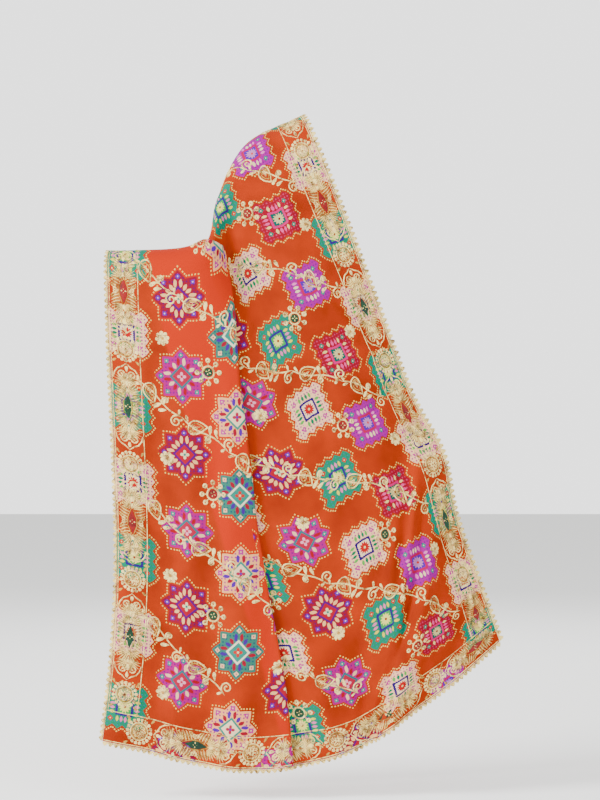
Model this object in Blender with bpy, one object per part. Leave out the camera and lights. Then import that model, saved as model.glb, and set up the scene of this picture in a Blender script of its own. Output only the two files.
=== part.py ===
"""A dupatta draped over a shoulder and a bent forearm, as one long cloth with a lace edging.

Metres, +Z up. The origin is the top of the shoulder that carries the cloth. The cloth runs along X from
the neck (+X side) to the wrist (-X side), hangs behind towards -Y and in front towards +Y.

The cloth is worked out in three steps. Six tracks run from the back hem over the crest to the front hem
and give the form that the cloth lies on. At each level a row crosses the tracks from the neck edge to the
wrist edge. Along a row the cloth lies in one layer, turns back at the inner fold, turns again at the outer
fold, and goes on to the wrist edge, so that three layers lie over the forearm.
"""

from collections import namedtuple
import math

import bmesh
import bpy
import numpy as np

# The cloth as cut and its wall
CLOTH_LENGTH = 2.10
WALL = 0.0015
SEAM_GAP = 0.0003
LAYER_STEP = 0.006

# The zigzag lace sewn round the cloth
TOOTH_PITCH = 0.0125
TOOTH_DEPTH = 0.0080
TAPE_WIDTH = 0.0030
LACE_WALL = 0.0012
LEAST_STRAIGHT = math.cos(math.radians(2))
SHARP_ANGLE = math.radians(50)

# A track starts on its crest, rounds off by its radius, and falls to the back hem and to the front hem.
# cut_v is the length of cloth from the back hem to the crest. blade_y and chest_y are the depths that the
# falls reach below the shoulder, bow is the back fall's sideways curve, and skew moves that curve down.
Crest = namedtuple("Crest", "track x y z radius cut_v")
CRESTS = (
    Crest("neck edge", 0.064, 0.000, 0.029, 0.060, 1.35),
    Crest("shoulder", -0.048, 0.000, -0.028, 0.065, 1.35),
    Crest("upper arm", -0.113, -0.045, -0.157, 0.050, 1.25),
    Crest("elbow", -0.140, -0.120, -0.262, 0.038, 1.17),
    Crest("forearm", -0.285, -0.110, -0.284, 0.036, 1.11),
    Crest("wrist edge", -0.343, -0.100, -0.284, 0.034, 1.06),
)
BackFall = namedtuple("BackFall", "track hem_x hem_y hem_z blade_y bow skew")
BACK_FALLS = (
    BackFall("neck edge", 0.503, -0.085, -1.121, -0.095, 0.012, 0.4),
    BackFall("shoulder", 0.389, -0.130, -1.210, -0.130, 0.036, 1.6),
    BackFall("upper arm", 0.296, -0.145, -1.274, -0.145, 0.043, 1.6),
    BackFall("elbow", 0.222, -0.150, -1.326, -0.150, 0.026, 1.6),
    BackFall("forearm", 0.017, -0.150, -1.385, -0.148, 0.014, 1.6),
    BackFall("wrist edge", -0.354, -0.150, -1.326, -0.142, 0.027, 1.6),
)
FrontFall = namedtuple("FrontFall", "track hem_x hem_y chest_y")
FRONT_FALLS = (
    FrontFall("neck edge", 0.068, 0.115, 0.105),
    FrontFall("shoulder", -0.025, 0.105, 0.105),
    FrontFall("upper arm", -0.100, 0.030, 0.020),
    FrontFall("elbow", -0.150, -0.055, -0.075),
    FrontFall("forearm", -0.255, -0.062, -0.070),
    FrontFall("wrist edge", -0.300, -0.055, -0.062),
)
TRACKS = tuple(zip(CRESTS, BACK_FALLS, FRONT_FALLS))
BLADE_LEVEL = 0.3

# Where the neck edge is pulled out sideways, and how far
PULL_LEVEL = 0.66
PULL_REACH = 0.075
PULL_OUT = 0.021

# A level is 0 on the crest, 1 on the back hem and -1 on the front hem. A place is 0 on the first track,
# 1 on the next, and so on. outer is the place of the fold that shows, and inner that of the hidden one.
Fold = namedtuple("Fold", "level outer inner")
FOLDS = (
    Fold(-1.00, 3.05, 3.95),
    Fold(-0.30, 2.95, 3.95),
    Fold(-0.14, 2.80, 3.92),
    Fold(-0.07, 2.75, 3.90),
    Fold(-0.03, 2.90, 3.92),
    Fold(0.00, 3.03, 3.95),
    Fold(0.03, 2.80, 3.92),
    Fold(0.07, 2.52, 3.88),
    Fold(0.14, 2.77, 3.90),
    Fold(0.20, 3.05, 3.93),
    Fold(0.30, 3.26, 3.96),
    Fold(0.52, 3.54, 3.98),
    Fold(0.70, 3.68, 3.94),
    Fold(0.86, 3.74, 3.90),
    Fold(1.00, 3.83, 3.86),
)

# Waves in the front fall, which start below the crest and differ a little in height, and the softer ones in
# the arm panel behind
FRONT_WAVES = 4.5
FRONT_WAVE_HEIGHT = 0.013
FRONT_WAVE_SPREAD = 0.2
FRONT_WAVE_BEAT = 9
FRONT_WAVE_START = 0.04
FRONT_WAVE_FULL = 0.54
ARM_WAVE_HEIGHT = 0.005
ARM_WAVE_LENGTH = 0.125
ARM_WAVE_START = 0.1
ARM_WAVE_FULL = 0.7
ARM_PANEL_START = 0.5
ARM_PANEL_FULL = 0.7

# The ridge that runs from where the neck edge is gathered down to the back hem
GATHER_LEVEL = 0.60
RIDGE_TOP_SHARE = 0.06
RIDGE_HEM_SHARE = 0.36
RIDGE_HEIGHT = 0.013
RIDGE_RISE = 0.030
RIDGE_EASE = 0.110
RIDGE_FULL = 0.70

# How finely each stretch is divided
BACK_COLUMNS = 27
TUCK_COLUMNS = 9
ARM_COLUMNS = 15
CREST_LEVELS = 4
CREST_END = 0.05
BACK_LEVELS = 19
FRONT_LEVELS = 12
PLACE_STEP = 0.01
LEVEL_STEP = 0.002
ROW_POSTS = 101

# The stretches of the one length of cloth, from one row and column of its grid to another, and how many rows
# the topmost ones take
Stretch = namedtuple("Stretch", "name first_row last_row first_column last_column")
FRONT_TOP_ROWS = 7
BACK_TOP_ROWS = 9
BACK_MIDDLE_ROWS = 6


def smooth(share):
    """0 below 0, 1 above 1, and an even S between."""
    share = np.clip(share, 0, 1)
    return share * share * (3 - 2 * share)


def unit(vectors):
    return vectors / np.linalg.norm(vectors, axis=-1, keepdims=True)


def fall_point(track, level):
    """The track's point at each level, in an array with x, y and z last."""
    crest, back, front = track
    behind = np.where(level >= 0, 1.0, -1.0)
    share = np.abs(level)
    turn = crest.radius * math.pi / 2
    back_x, back_z = back.hem_x - crest.x, back.hem_z - crest.z
    back_chord = math.hypot(back_x, back_z)
    front_chord = CLOTH_LENGTH - crest.cut_v - turn + crest.radius
    front_x = (front.hem_x - crest.x) / front_chord
    fall_x = np.where(level >= 0, back_x / back_chord, front_x)
    fall_z = np.where(level >= 0, back_z / back_chord, -math.sqrt(1 - front_x**2))
    chord = np.where(level >= 0, back_chord, front_chord)
    length = turn + chord - crest.radius
    run = share * length
    angle = np.minimum(run / crest.radius, math.pi / 2)
    along = np.where(run < turn, crest.radius * (1 - np.cos(angle)), crest.radius + run - turn)
    rest = np.clip((run - turn) / (length - turn), 0, 1)
    start_y = crest.y - behind * crest.radius
    middle_y = np.where(level >= 0, back.blade_y, front.chest_y)
    end_y = np.where(level >= 0, back.hem_y, front.hem_y)
    y = crest.y - behind * crest.radius * np.sin(angle)
    y += (middle_y - start_y) * np.sin(math.pi / 2 * np.minimum(rest / BLADE_LEVEL, 1))
    y += (end_y - middle_y) * smooth((rest - BLADE_LEVEL) / (1 - BLADE_LEVEL))
    aside = np.where(level >= 0, back.bow * np.sin(math.pi * share**back.skew), 0)
    if crest is CRESTS[0]:
        aside = aside + PULL_OUT * np.exp(-(((level - PULL_LEVEL) / PULL_REACH) ** 2))
    x = crest.x + along * fall_x - aside * fall_z
    z = crest.z + along * fall_z + aside * fall_x
    return np.stack([x, y, z], axis=-1)


def form_point(place, level):
    """The form under the cloth, place 0 on the neck edge and 5 on the wrist edge."""
    place, level = np.broadcast_arrays(np.asarray(place, float), np.asarray(level, float))
    posts = np.stack([fall_point(track, level) for track in TRACKS])
    spans = np.linalg.norm(np.diff(posts, axis=0), axis=-1)[..., None]
    slopes = np.diff(posts, axis=0) / spans
    tangents = [slopes[0]]
    for before, after, slope_before, slope_after in zip(spans, spans[1:], slopes, slopes[1:]):
        tangents.append((after * slope_before + before * slope_after) / (before + after))
    tangents = np.stack(tangents + [slopes[-1]])
    first = np.clip(place.astype(int), 0, len(TRACKS) - 2)
    part = (place - first)[..., None]
    pick = (first,) + tuple(np.indices(place.shape))
    following = (first + 1,) + pick[1:]
    span = spans[pick]
    result = (1 + 2 * part) * (1 - part) ** 2 * posts[pick]
    result += part * (1 - part) ** 2 * span * tangents[pick]
    result += part**2 * (3 - 2 * part) * posts[following]
    return result - part**2 * (1 - part) * span * tangents[following]


def form_normal(place, level):
    """The form's unit normal, away from what it is draped over."""
    left = form_point(np.minimum(place + PLACE_STEP, len(TRACKS) - 1), level)
    right = form_point(np.maximum(place - PLACE_STEP, 0), level)
    behind = form_point(place, np.minimum(level + LEVEL_STEP, 1))
    before = form_point(place, np.maximum(level - LEVEL_STEP, -1))
    return unit(np.cross(left - right, behind - before))


def fold_at(level):
    levels = [fold.level for fold in FOLDS]
    outer = np.interp(level, levels, [fold.outer for fold in FOLDS])
    return outer, np.interp(level, levels, [fold.inner for fold in FOLDS])


def ramp(value, start, full):
    """0 up to the start, 1 from full on, and an even S between."""
    return smooth((value - start) / (full - start))


def relief(run, width, level):
    """How far the cloth stands off the form, run metres from the neck edge along a row."""
    share = run / width
    if level < 0:
        uneven = 1 - FRONT_WAVE_SPREAD + FRONT_WAVE_SPREAD * np.sin(FRONT_WAVE_BEAT * share)
        height = FRONT_WAVE_HEIGHT * ramp(-level, FRONT_WAVE_START, FRONT_WAVE_FULL) * uneven
        return height * np.cos(2 * math.pi * FRONT_WAVES * share)
    panel = ramp(share, ARM_PANEL_START, ARM_PANEL_FULL) * ramp(level, ARM_WAVE_START, ARM_WAVE_FULL)
    waves = ARM_WAVE_HEIGHT * panel * np.sin(2 * math.pi * (width - run) / ARM_WAVE_LENGTH)
    down = np.clip((level - GATHER_LEVEL) / (1 - GATHER_LEVEL), 0, 1)
    line = (RIDGE_TOP_SHARE + (RIDGE_HEM_SHARE - RIDGE_TOP_SHARE) * down) * width
    inside = line - run
    ridge = ramp(inside, -RIDGE_RISE / 2, RIDGE_RISE / 2) * np.exp(-np.maximum(inside, 0) / RIDGE_EASE)
    return waves + RIDGE_HEIGHT * ramp(level, GATHER_LEVEL, RIDGE_FULL) * ridge


def cloth_row(level):
    """The cloth's points along one level, from the neck edge through the two folds to the wrist edge."""
    wrist = len(TRACKS) - 1
    places = np.linspace(0, wrist, ROW_POSTS)
    line = form_point(places, level)
    runs = np.concatenate([[0], np.cumsum(np.linalg.norm(np.diff(line, axis=0), axis=1))])
    outer, inner = fold_at(level)
    place = np.concatenate(
        [
            np.linspace(0, inner, BACK_COLUMNS),
            [inner],
            np.linspace(inner, outer, TUCK_COLUMNS),
            [outer],
            np.linspace(outer, wrist, ARM_COLUMNS),
        ]
    )
    run = np.interp(place, places, runs)
    run[BACK_COLUMNS] += LAYER_STEP / 2
    run[BACK_COLUMNS + 1 + TUCK_COLUMNS] -= LAYER_STEP / 2
    place = np.interp(run, runs, places)
    layers = [0] * BACK_COLUMNS + [0.5] + [1] * TUCK_COLUMNS + [1.5] + [2] * ARM_COLUMNS
    stand_off = relief(run, runs[-1], level) + LAYER_STEP * np.array(layers)
    return form_point(place, level) + stand_off[:, None] * form_normal(place, level)


def fall_levels(count):
    """Levels from the crest to a hem, close together where the cloth rounds the crest."""
    crest = np.linspace(0, CREST_END, CREST_LEVELS, endpoint=False)
    return np.concatenate([crest, np.linspace(CREST_END, 1, count)])


def sheet_grid():
    """Points and unit normals of the cloth's middle, in rows from the front hem to the back hem."""
    levels = np.concatenate([-fall_levels(FRONT_LEVELS)[:0:-1], fall_levels(BACK_LEVELS)])
    points = np.stack([cloth_row(level) for level in levels])
    return points, unit(np.cross(np.gradient(points, axis=1), np.gradient(points, axis=0)))


def material(name, colour, roughness):
    made = bpy.data.materials.new(name)
    made.use_nodes = True
    shader = made.node_tree.nodes["Principled BSDF"]
    shader.inputs["Base Color"].default_value = colour
    shader.inputs["Roughness"].default_value = roughness
    shader.inputs["Metallic"].default_value = 0.0
    return made


def add_object(name, vertices, faces, finish):
    """A mesh object with its faces turned outwards."""
    mesh = bpy.data.meshes.new(name)
    mesh.from_pydata([tuple(vertex) for vertex in vertices], [], faces)
    shape = bmesh.new()
    shape.from_mesh(mesh)
    bmesh.ops.recalc_face_normals(shape, faces=shape.faces)
    shape.to_mesh(mesh)
    shape.free()
    mesh.shade_smooth()
    mesh.set_sharp_from_angle(angle=SHARP_ANGLE)
    mesh.materials.append(finish)
    made = bpy.data.objects.new(name, mesh)
    bpy.context.scene.collection.objects.link(made)
    return made


def closed_wall(points, normals, wall):
    """Vertices and faces of a closed wall round a grid of middle points."""
    rows, columns = points.shape[:2]
    outside = (points + normals * wall / 2).reshape(-1, 3)
    inside = (points - normals * wall / 2).reshape(-1, 3)
    count = rows * columns
    index = np.arange(count).reshape(rows, columns)
    faces = []
    for row in range(rows - 1):
        for column in range(columns - 1):
            corner, right = index[row, column], index[row, column + 1]
            below, across = index[row + 1, column], index[row + 1, column + 1]
            for face in ([corner, right, across], [corner, across, below]):
                faces.append(face)
                faces.append([post + count for post in reversed(face)])
    rim = list(index[0]) + list(index[1:, -1]) + list(index[-1, -2::-1]) + list(index[-2:0:-1, 0])
    for start, end in zip(rim, rim[1:] + rim[:1]):
        faces.append([end, start, start + count, end + count])
    return np.concatenate([outside, inside]), [[int(post) for post in face] for face in faces]


def corner_posts(edge):
    """The points of an edge that lace must pass through: its bends, and others a tooth or more apart."""
    steps = unit(np.diff(edge, axis=0))
    kept = [0]
    for post in range(1, len(edge) - 1):
        bends = steps[post - 1] @ steps[post] < LEAST_STRAIGHT
        if bends or np.linalg.norm(edge[post] - edge[kept[-1]]) > TOOTH_PITCH:
            kept.append(post)
    return kept + [len(edge) - 1]


def lace_marks(edge):
    """Where along the posts each tooth starts, with a whole number of teeth from post to post."""
    marks = []
    for post, length in enumerate(np.linalg.norm(np.diff(edge, axis=0), axis=1)):
        teeth = max(1, round(length / TOOTH_PITCH))
        marks.extend(post + np.arange(teeth) / teeth)
    return np.array(marks + [len(edge) - 1])


def read_along(rows, marks):
    return np.stack([np.interp(marks, np.arange(len(rows)), rows[:, axis]) for axis in range(3)], axis=1)


def add_edging(name, edge, inner_line, normals, finish):
    """A lace strip along an edge: a narrow tape with a tooth at each pitch."""
    posts = corner_posts(edge)
    outward = np.cross(unit(np.gradient(edge, axis=0)), normals)
    outward = unit(outward * np.sign(np.sum(outward * (edge - inner_line), axis=1, keepdims=True)))
    edge, outward, normals = edge[posts], outward[posts], normals[posts]
    valleys = lace_marks(edge)
    tips = (valleys[1:] + valleys[:-1]) / 2
    tape_in = read_along(edge + outward * SEAM_GAP, valleys)
    tape_out = read_along(edge + outward * (SEAM_GAP + TAPE_WIDTH), valleys)
    points = read_along(edge + outward * (SEAM_GAP + TAPE_WIDTH + TOOTH_DEPTH), tips)
    lift = unit(read_along(normals, valleys)) * LACE_WALL / 2
    point_lift = unit(read_along(normals, tips)) * LACE_WALL / 2
    vertices = np.concatenate(
        [
            tape_in + lift,
            tape_out + lift,
            points + point_lift,
            tape_in - lift,
            tape_out - lift,
            points - point_lift,
        ]
    )
    teeth = len(tips)
    valley, tip, back = teeth + 1, 2 * teeth + 2, 3 * teeth + 2
    faces = []
    for tooth in range(teeth):
        tape = [tooth, tooth + 1, valley + tooth + 1, valley + tooth]
        point = [valley + tooth, valley + tooth + 1, tip + tooth]
        for face in (tape, point):
            faces.append(face)
            faces.append([corner + back for corner in reversed(face)])
        for start, end in ((tape[0], tape[1]), (point[2], point[0]), (point[1], point[2])):
            faces.append([end, start, start + back, end + back])
    for start, end in ((valley, 0), (teeth, valley + teeth)):
        faces.append([end, start, start + back, end + back])
    return add_object(name, vertices, faces, finish)


def make_cloth(points, normals):
    """The cloth's walls, one for each stretch, parted from each other by the seam gap."""
    finish = material("orange_georgette", (0.61, 0.092, 0.017, 1), 0.75)
    hem, side = len(points) - 1, points.shape[1] - 1
    crest = len(points) - len(fall_levels(BACK_LEVELS))
    front_top = crest - FRONT_TOP_ROWS
    back_top = crest + BACK_TOP_ROWS
    back_middle = back_top + BACK_MIDDLE_ROWS
    stretches = (
        Stretch("front_fall", 0, front_top, 0, BACK_COLUMNS),
        Stretch("front_top", front_top, crest, 0, BACK_COLUMNS),
        Stretch("front_arm_fall", 0, crest, BACK_COLUMNS, side),
        Stretch("back_top", crest, back_top, 0, BACK_COLUMNS),
        Stretch("back_middle", back_top, back_middle, 0, BACK_COLUMNS),
        Stretch("back_fall", back_middle, hem, 0, BACK_COLUMNS),
        Stretch("arm_fall", crest, hem, BACK_COLUMNS, side),
    )
    down = unit(np.gradient(points, axis=0)) * SEAM_GAP / 2
    across = unit(np.gradient(points, axis=1)) * SEAM_GAP / 2
    for stretch in stretches:
        rows = slice(stretch.first_row, stretch.last_row + 1)
        columns = slice(stretch.first_column, stretch.last_column + 1)
        wall = points[rows, columns].copy()
        if stretch.first_row > 0:
            wall[0] += down[stretch.first_row, columns]
        if stretch.last_row < hem:
            wall[-1] -= down[stretch.last_row, columns]
        if stretch.first_column > 0:
            wall[:, 0] += across[rows, stretch.first_column]
        if stretch.last_column < side:
            wall[:, -1] -= across[rows, stretch.last_column]
        vertices, faces = closed_wall(wall, normals[rows, columns], WALL)
        add_object(stretch.name, vertices, faces, finish)


def make_edging(points, normals):
    finish = material("cream_lace", (0.83, 0.70, 0.42, 1), 0.6)
    across = np.swapaxes(points, 0, 1)
    add_edging("edging_neck_side", across[0], across[1], normals[:, 0], finish)
    add_edging("edging_wrist_side", across[-1], across[-2], normals[:, -1], finish)
    add_edging("edging_back_end", points[-1], points[-2], normals[-1], finish)
    add_edging("edging_front_end", points[0], points[1], normals[0], finish)


def main():
    for old in list(bpy.data.objects):
        bpy.data.objects.remove(old, do_unlink=True)
    points, normals = sheet_grid()
    make_cloth(points, normals)
    make_edging(points, normals)


main()
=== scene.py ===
"""The visual model of a dupatta draped over a shoulder and a bent forearm, laid out as an add-on.

Metres, +Z up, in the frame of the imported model. The cloth is worked out from the same six tracks as the
solids, on a finer grid. u is measured across the cloth as it was cut, from the neck edge to the wrist edge,
and v along it, from the back hem over the crest to the front hem. The UV map holds both in metres, so that
the print, the weave and the embroidery keep their real sizes.
"""

from collections import namedtuple
from functools import lru_cache
import math

import bpy
import numpy as np
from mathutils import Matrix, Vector


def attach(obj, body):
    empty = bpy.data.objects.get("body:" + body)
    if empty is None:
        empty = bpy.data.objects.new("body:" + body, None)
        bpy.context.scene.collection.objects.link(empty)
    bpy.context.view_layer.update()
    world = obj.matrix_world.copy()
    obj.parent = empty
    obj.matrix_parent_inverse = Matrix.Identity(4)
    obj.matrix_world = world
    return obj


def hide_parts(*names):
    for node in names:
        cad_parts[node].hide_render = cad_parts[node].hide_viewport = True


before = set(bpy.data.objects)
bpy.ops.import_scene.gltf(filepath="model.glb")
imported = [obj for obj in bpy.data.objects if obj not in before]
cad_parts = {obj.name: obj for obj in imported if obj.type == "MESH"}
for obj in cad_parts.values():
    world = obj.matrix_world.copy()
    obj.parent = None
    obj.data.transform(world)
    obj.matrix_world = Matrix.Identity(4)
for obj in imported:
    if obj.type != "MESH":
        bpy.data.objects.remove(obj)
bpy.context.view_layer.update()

bl_info = {
    "name": "Draped dupatta",
    "version": (1, 0, 0),
    "blender": (4, 5, 0),
    "location": "View3D > Sidebar > Dupatta",
    "description": "Builds an embroidered georgette dupatta in its worn form",
    "category": "Object",
}

BODY = "root"

# The form, the same as that of the solids. LAYER_STEP parts the layers over the forearm. BLADE_LEVEL is the
# share of a fall where it reaches the depth of the shoulder blade or the chest. The PULL values draw the
# neck edge out at one level.
LAYER_STEP = 0.006
BLADE_LEVEL = 0.3
PULL_LEVEL = 0.66
PULL_REACH = 0.075
PULL_OUT = 0.021
Crest = namedtuple("Crest", "track x y z radius cut_v")
CRESTS = (
    Crest("neck edge", 0.064, 0.000, 0.029, 0.060, 1.35),
    Crest("shoulder", -0.048, 0.000, -0.028, 0.065, 1.35),
    Crest("upper arm", -0.113, -0.045, -0.157, 0.050, 1.25),
    Crest("elbow", -0.140, -0.120, -0.262, 0.038, 1.17),
    Crest("forearm", -0.285, -0.110, -0.284, 0.036, 1.11),
    Crest("wrist edge", -0.343, -0.100, -0.284, 0.034, 1.06),
)
BackFall = namedtuple("BackFall", "track hem_x hem_y hem_z blade_y bow skew")
BACK_FALLS = (
    BackFall("neck edge", 0.503, -0.085, -1.121, -0.095, 0.012, 0.4),
    BackFall("shoulder", 0.389, -0.130, -1.210, -0.130, 0.036, 1.6),
    BackFall("upper arm", 0.296, -0.145, -1.274, -0.145, 0.043, 1.6),
    BackFall("elbow", 0.222, -0.150, -1.326, -0.150, 0.026, 1.6),
    BackFall("forearm", 0.017, -0.150, -1.385, -0.148, 0.014, 1.6),
    BackFall("wrist edge", -0.354, -0.150, -1.326, -0.142, 0.027, 1.6),
)
FrontFall = namedtuple("FrontFall", "track hem_x hem_y chest_y")
FRONT_FALLS = (
    FrontFall("neck edge", 0.068, 0.115, 0.105),
    FrontFall("shoulder", -0.025, 0.105, 0.105),
    FrontFall("upper arm", -0.100, 0.030, 0.020),
    FrontFall("elbow", -0.150, -0.055, -0.075),
    FrontFall("forearm", -0.255, -0.062, -0.070),
    FrontFall("wrist edge", -0.300, -0.055, -0.062),
)
TRACKS = tuple(zip(CRESTS, BACK_FALLS, FRONT_FALLS))
WRIST = len(TRACKS) - 1
# Where the outer and the inner fold lie at each level, as places on the tracks. A level is -1 at the front
# hem, 0 on the crest and 1 at the back hem.
Fold = namedtuple("Fold", "level outer inner")
FOLDS = (
    Fold(-1.00, 3.05, 3.95),
    Fold(-0.30, 2.95, 3.95),
    Fold(-0.14, 2.80, 3.92),
    Fold(-0.07, 2.75, 3.90),
    Fold(-0.03, 2.90, 3.92),
    Fold(0.00, 3.03, 3.95),
    Fold(0.03, 2.80, 3.92),
    Fold(0.07, 2.52, 3.88),
    Fold(0.14, 2.77, 3.90),
    Fold(0.20, 3.05, 3.93),
    Fold(0.30, 3.26, 3.96),
    Fold(0.52, 3.54, 3.98),
    Fold(0.70, 3.68, 3.94),
    Fold(0.86, 3.74, 3.90),
    Fold(1.00, 3.83, 3.86),
)
# Soft waves in front and on the arm panel, and the ridge that the gathered neck side throws near the hem
FRONT_WAVES = 4.5
FRONT_WAVE_HEIGHT = 0.013
FRONT_WAVE_SPREAD = 0.2
FRONT_WAVE_BEAT = 9
FRONT_WAVE_START = 0.04
FRONT_WAVE_FULL = 0.54
ARM_WAVE_HEIGHT = 0.005
ARM_WAVE_LENGTH = 0.125
ARM_WAVE_START = 0.1
ARM_WAVE_FULL = 0.7
ARM_PANEL_START = 0.5
ARM_PANEL_FULL = 0.7
GATHER_LEVEL = 0.60
RIDGE_TOP_SHARE = 0.06
RIDGE_HEM_SHARE = 0.36
RIDGE_HEIGHT = 0.013
RIDGE_RISE = 0.030
RIDGE_EASE = 0.110
RIDGE_FULL = 0.70

# Where the tracks lie on the cut cloth, measured across it from the neck edge
TRACK_U = (0.0, 0.154, 0.269, 0.36)
# The length of cloth behind the crest at some distances across, and how much of it the hem takes up
LengthPost = namedtuple("LengthPost", "u behind taken")
LENGTH_POSTS = (
    LengthPost(0.0, 1.350, 0.085),
    LengthPost(0.154, 1.347, 0.050),
    LengthPost(0.269, 1.248, 0.030),
    LengthPost(0.385, 1.170, 0.025),
    LengthPost(0.5, 1.150, 0.0),
    LengthPost(0.79, 1.075, 0.0),
    LengthPost(1.0, 1.060, 0.0),
)
TAKEN_SHARE = 0.12

# How finely the cloth is divided in the scene. The rows lie closer together near the crest, and NOSE_POSTS
# round each fold.
BACK_COLUMNS = 112
TUCK_COLUMNS = 34
ARM_COLUMNS = 72
NOSE_POSTS = 5
CREST_ROWS = 12
CREST_END = 0.06
BACK_ROWS = 168
FRONT_ROWS = 116
ROW_POSTS = 301
PLACE_STEP = 0.01
LEVEL_STEP = 0.002
# The half-width of the change from one layer to three, and the level from which the front's columns are even
STACK_EDGE = 0.03
EVEN_LEVEL = 0.4
# The columns of the even grid that the embroidery is laid on
EVEN_COLUMNS = 601
SHARP_ANGLE = math.radians(50)

# Where the solids part the cloth into stretches, as levels
BACK_TOP = 0.3139
BACK_MIDDLE = 0.6306
FRONT_TOP = -0.3091

TURN = 2 * math.pi

# The lace: a tape of two cords, and teeth that are shorter on the wrist side and at both ends. A tooth's
# shoulder lies a share of the pitch in from its foot, and a share of its depth out.
SEAM_GAP = 0.0003
TAPE_WIDTH = 0.0030
TAPE_CORD = 0.0018
TAPE_HEIGHT = 0.0012
TAPE_INSET = 0.0008
SHORT_SHARE = 0.65
TOOTH_OVERLAP = 0.001
TOOTH_SHOULDER_IN = 0.24
TOOTH_SHOULDER_OUT = 0.52
TOOTH_TIP_HALF = 0.0009

# A stitched cord's height as a share of its width, its width at an open end, and how deep its foot is sunk
CORD_HEIGHT = 0.42
CORD_END = 0.35
SUNK = -0.0001

# The bands: how far their outer line, their middle and their inner line lie from the cloth's edge, the step
# from one lozenge to the next, and where the first lozenge lies along each edge
BAND_LINE = 0.0030
BAND_MIDDLE = 0.0345
BAND_WIDTH = 0.066
LINE_POST_STEP = 0.008
BAND_STEP = 0.246
NECK_FIRST = 0.13
WRIST_FIRST = 0.2295
END_FIRST = 0.31
LOZENGE_MARGIN = 0.02
DISC_MARGIN = 0.03

# A lozenge's corners, and the motifs at its ends by their distance from its middle. away is along the band.
# A fan's strokes turn from FAN_FIRST on, and stop at the band's line.
LOZENGE = ((-0.027, 0), (-0.007, 0.0082), (0.007, 0.0082), (0.027, 0), (0.007, -0.0082), (-0.007, -0.0082))
OUTLINE_SHARE = 1.2
Fan = namedtuple("Fan", "root reach")
FANS = (Fan(0.0255, 0.0310), Fan(0.0470, 0.0300))
FAN_STROKES = 6
FAN_FIRST = math.radians(15)
FAN_STEP = math.radians(12.5)
FAN_GOLD_LEAN = math.radians(6)
FAN_TOP = 0.0265
Spiral = namedtuple("Spiral", "away radius")
SPIRALS = (Spiral(0.070, 0.0090), Spiral(0.050, 0.0052))
SPIRAL_ROOM = 0.02
CUSP = ((0.058, 0.0290), (0.070, 0.0265), (0.080, 0.0190), (0.084, 0.0100), (0.092, 0.0))
BandLeaf = namedtuple("BandLeaf", "away length")
BAND_LEAVES = (
    BandLeaf(0.027, 0.013),
    BandLeaf(0.041, 0.015),
    BandLeaf(0.056, 0.016),
    BandLeaf(0.073, 0.014),
)

# A disc's rings, from the outermost in
DISC_PETALS = 18
DISC_PETALS_OUT = 0.0195
DISC_RING = 0.0185
DISC_GOLD_RING = 0.0152
DISC_CURLS = 9
DISC_CURLS_OUT = 0.0095
DISC_LEAVES = 6
DISC_HEART = 0.0020
DISC_CORNER = 0.0215

# The vines rise across the cloth in steps, each with a stem, curls, leaves and a paisley
FIELD_START = 0.075
VINE_STEP = 0.118
VINE_SLOPE = 0.7
VINE_PITCH = 0.25
VINE_FIRST = 0.175
VINES = range(-4, 9)
VINE_STEPS = 9
VINE_MARGIN = 0.02
STEM_POSTS = 16
STEM_SWAY = 0.0045
VineLeaf = namedtuple("VineLeaf", "along aside lean length")
VINE_LEAVES = (
    VineLeaf(0.006, 0.002, -0.95, 0.015),
    VineLeaf(0.036, 0.006, 0.90, 0.020),
    VineLeaf(0.044, 0.003, -1.15, 0.019),
    VineLeaf(0.052, 0.001, 1.20, 0.022),
    VineLeaf(0.104, -0.002, 0.80, 0.015),
    VineLeaf(0.112, -0.001, -0.80, 0.013),
)
PAISLEY_SPOT = (0.060, 0.006)
PAISLEY_LEAN = -0.35
PAISLEY_SIZE = 0.040

# The flowers between the vines, in columns across the cloth. late moves a column along it.
FlowerColumn = namedtuple("FlowerColumn", "u late")
ROSETTES = (FlowerColumn(0.211, 0.0), FlowerColumn(0.500, 0.0), FlowerColumn(0.789, 0.0))
STAR_FLOWERS = (
    FlowerColumn(0.098, 0.005),
    FlowerColumn(0.375, 0.0),
    FlowerColumn(0.885, 0.0),
    FlowerColumn(0.640, 0.0),
)
FLOWER_FIRST = 0.06
FLOWER_ROWS = 9
ROSETTE_MARGIN = 0.03
ROSETTE_SIZE = 0.0295
ROSETTE_PETALS = 8
STAR_FLOWER_MARGIN = 0.02
STAR_FLOWER_SIZE = 0.015
STAR_FLOWER_PETALS = 8

# The threads behind this distance along the cut cloth are one piece, and those before it another
CREST_V = 1.2

# The stage: the camera stands behind the drape, and its view is the height of the photograph's frame where
# the back of the cloth lies
FLOOR_LEVEL = -1.454
FLOOR_HALF = 12.0
CAMERA_PLACE = (0.069, -5.0, -0.596)
CLOTH_Y = -0.12
VIEW_HALF_HEIGHT = 0.864
LAMP_AIM = (0.05, -0.1, -0.6)
Lamp = namedtuple("Lamp", "name place watts size")
LAMPS = (
    Lamp("key", (-3.6, -2.1, 1.5), 390, 1.6),
    Lamp("fill", (2.8, -3.2, 0.6), 80, 3.0),
    Lamp("back", (0.5, 3.2, 1.6), 110, 2.5),
)
SKY_LIGHT = 0.8
SKY_SEEN = 2.6


def smooth(share):
    """0 below 0, 1 above 1, and an even S between."""
    share = np.clip(share, 0, 1)
    return share * share * (3 - 2 * share)


def ramp(value, start, full):
    """0 up to the start, 1 from full on, and an even S between."""
    return smooth((value - start) / (full - start))


def unit(vectors):
    return vectors / np.linalg.norm(vectors, axis=-1, keepdims=True)


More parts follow.
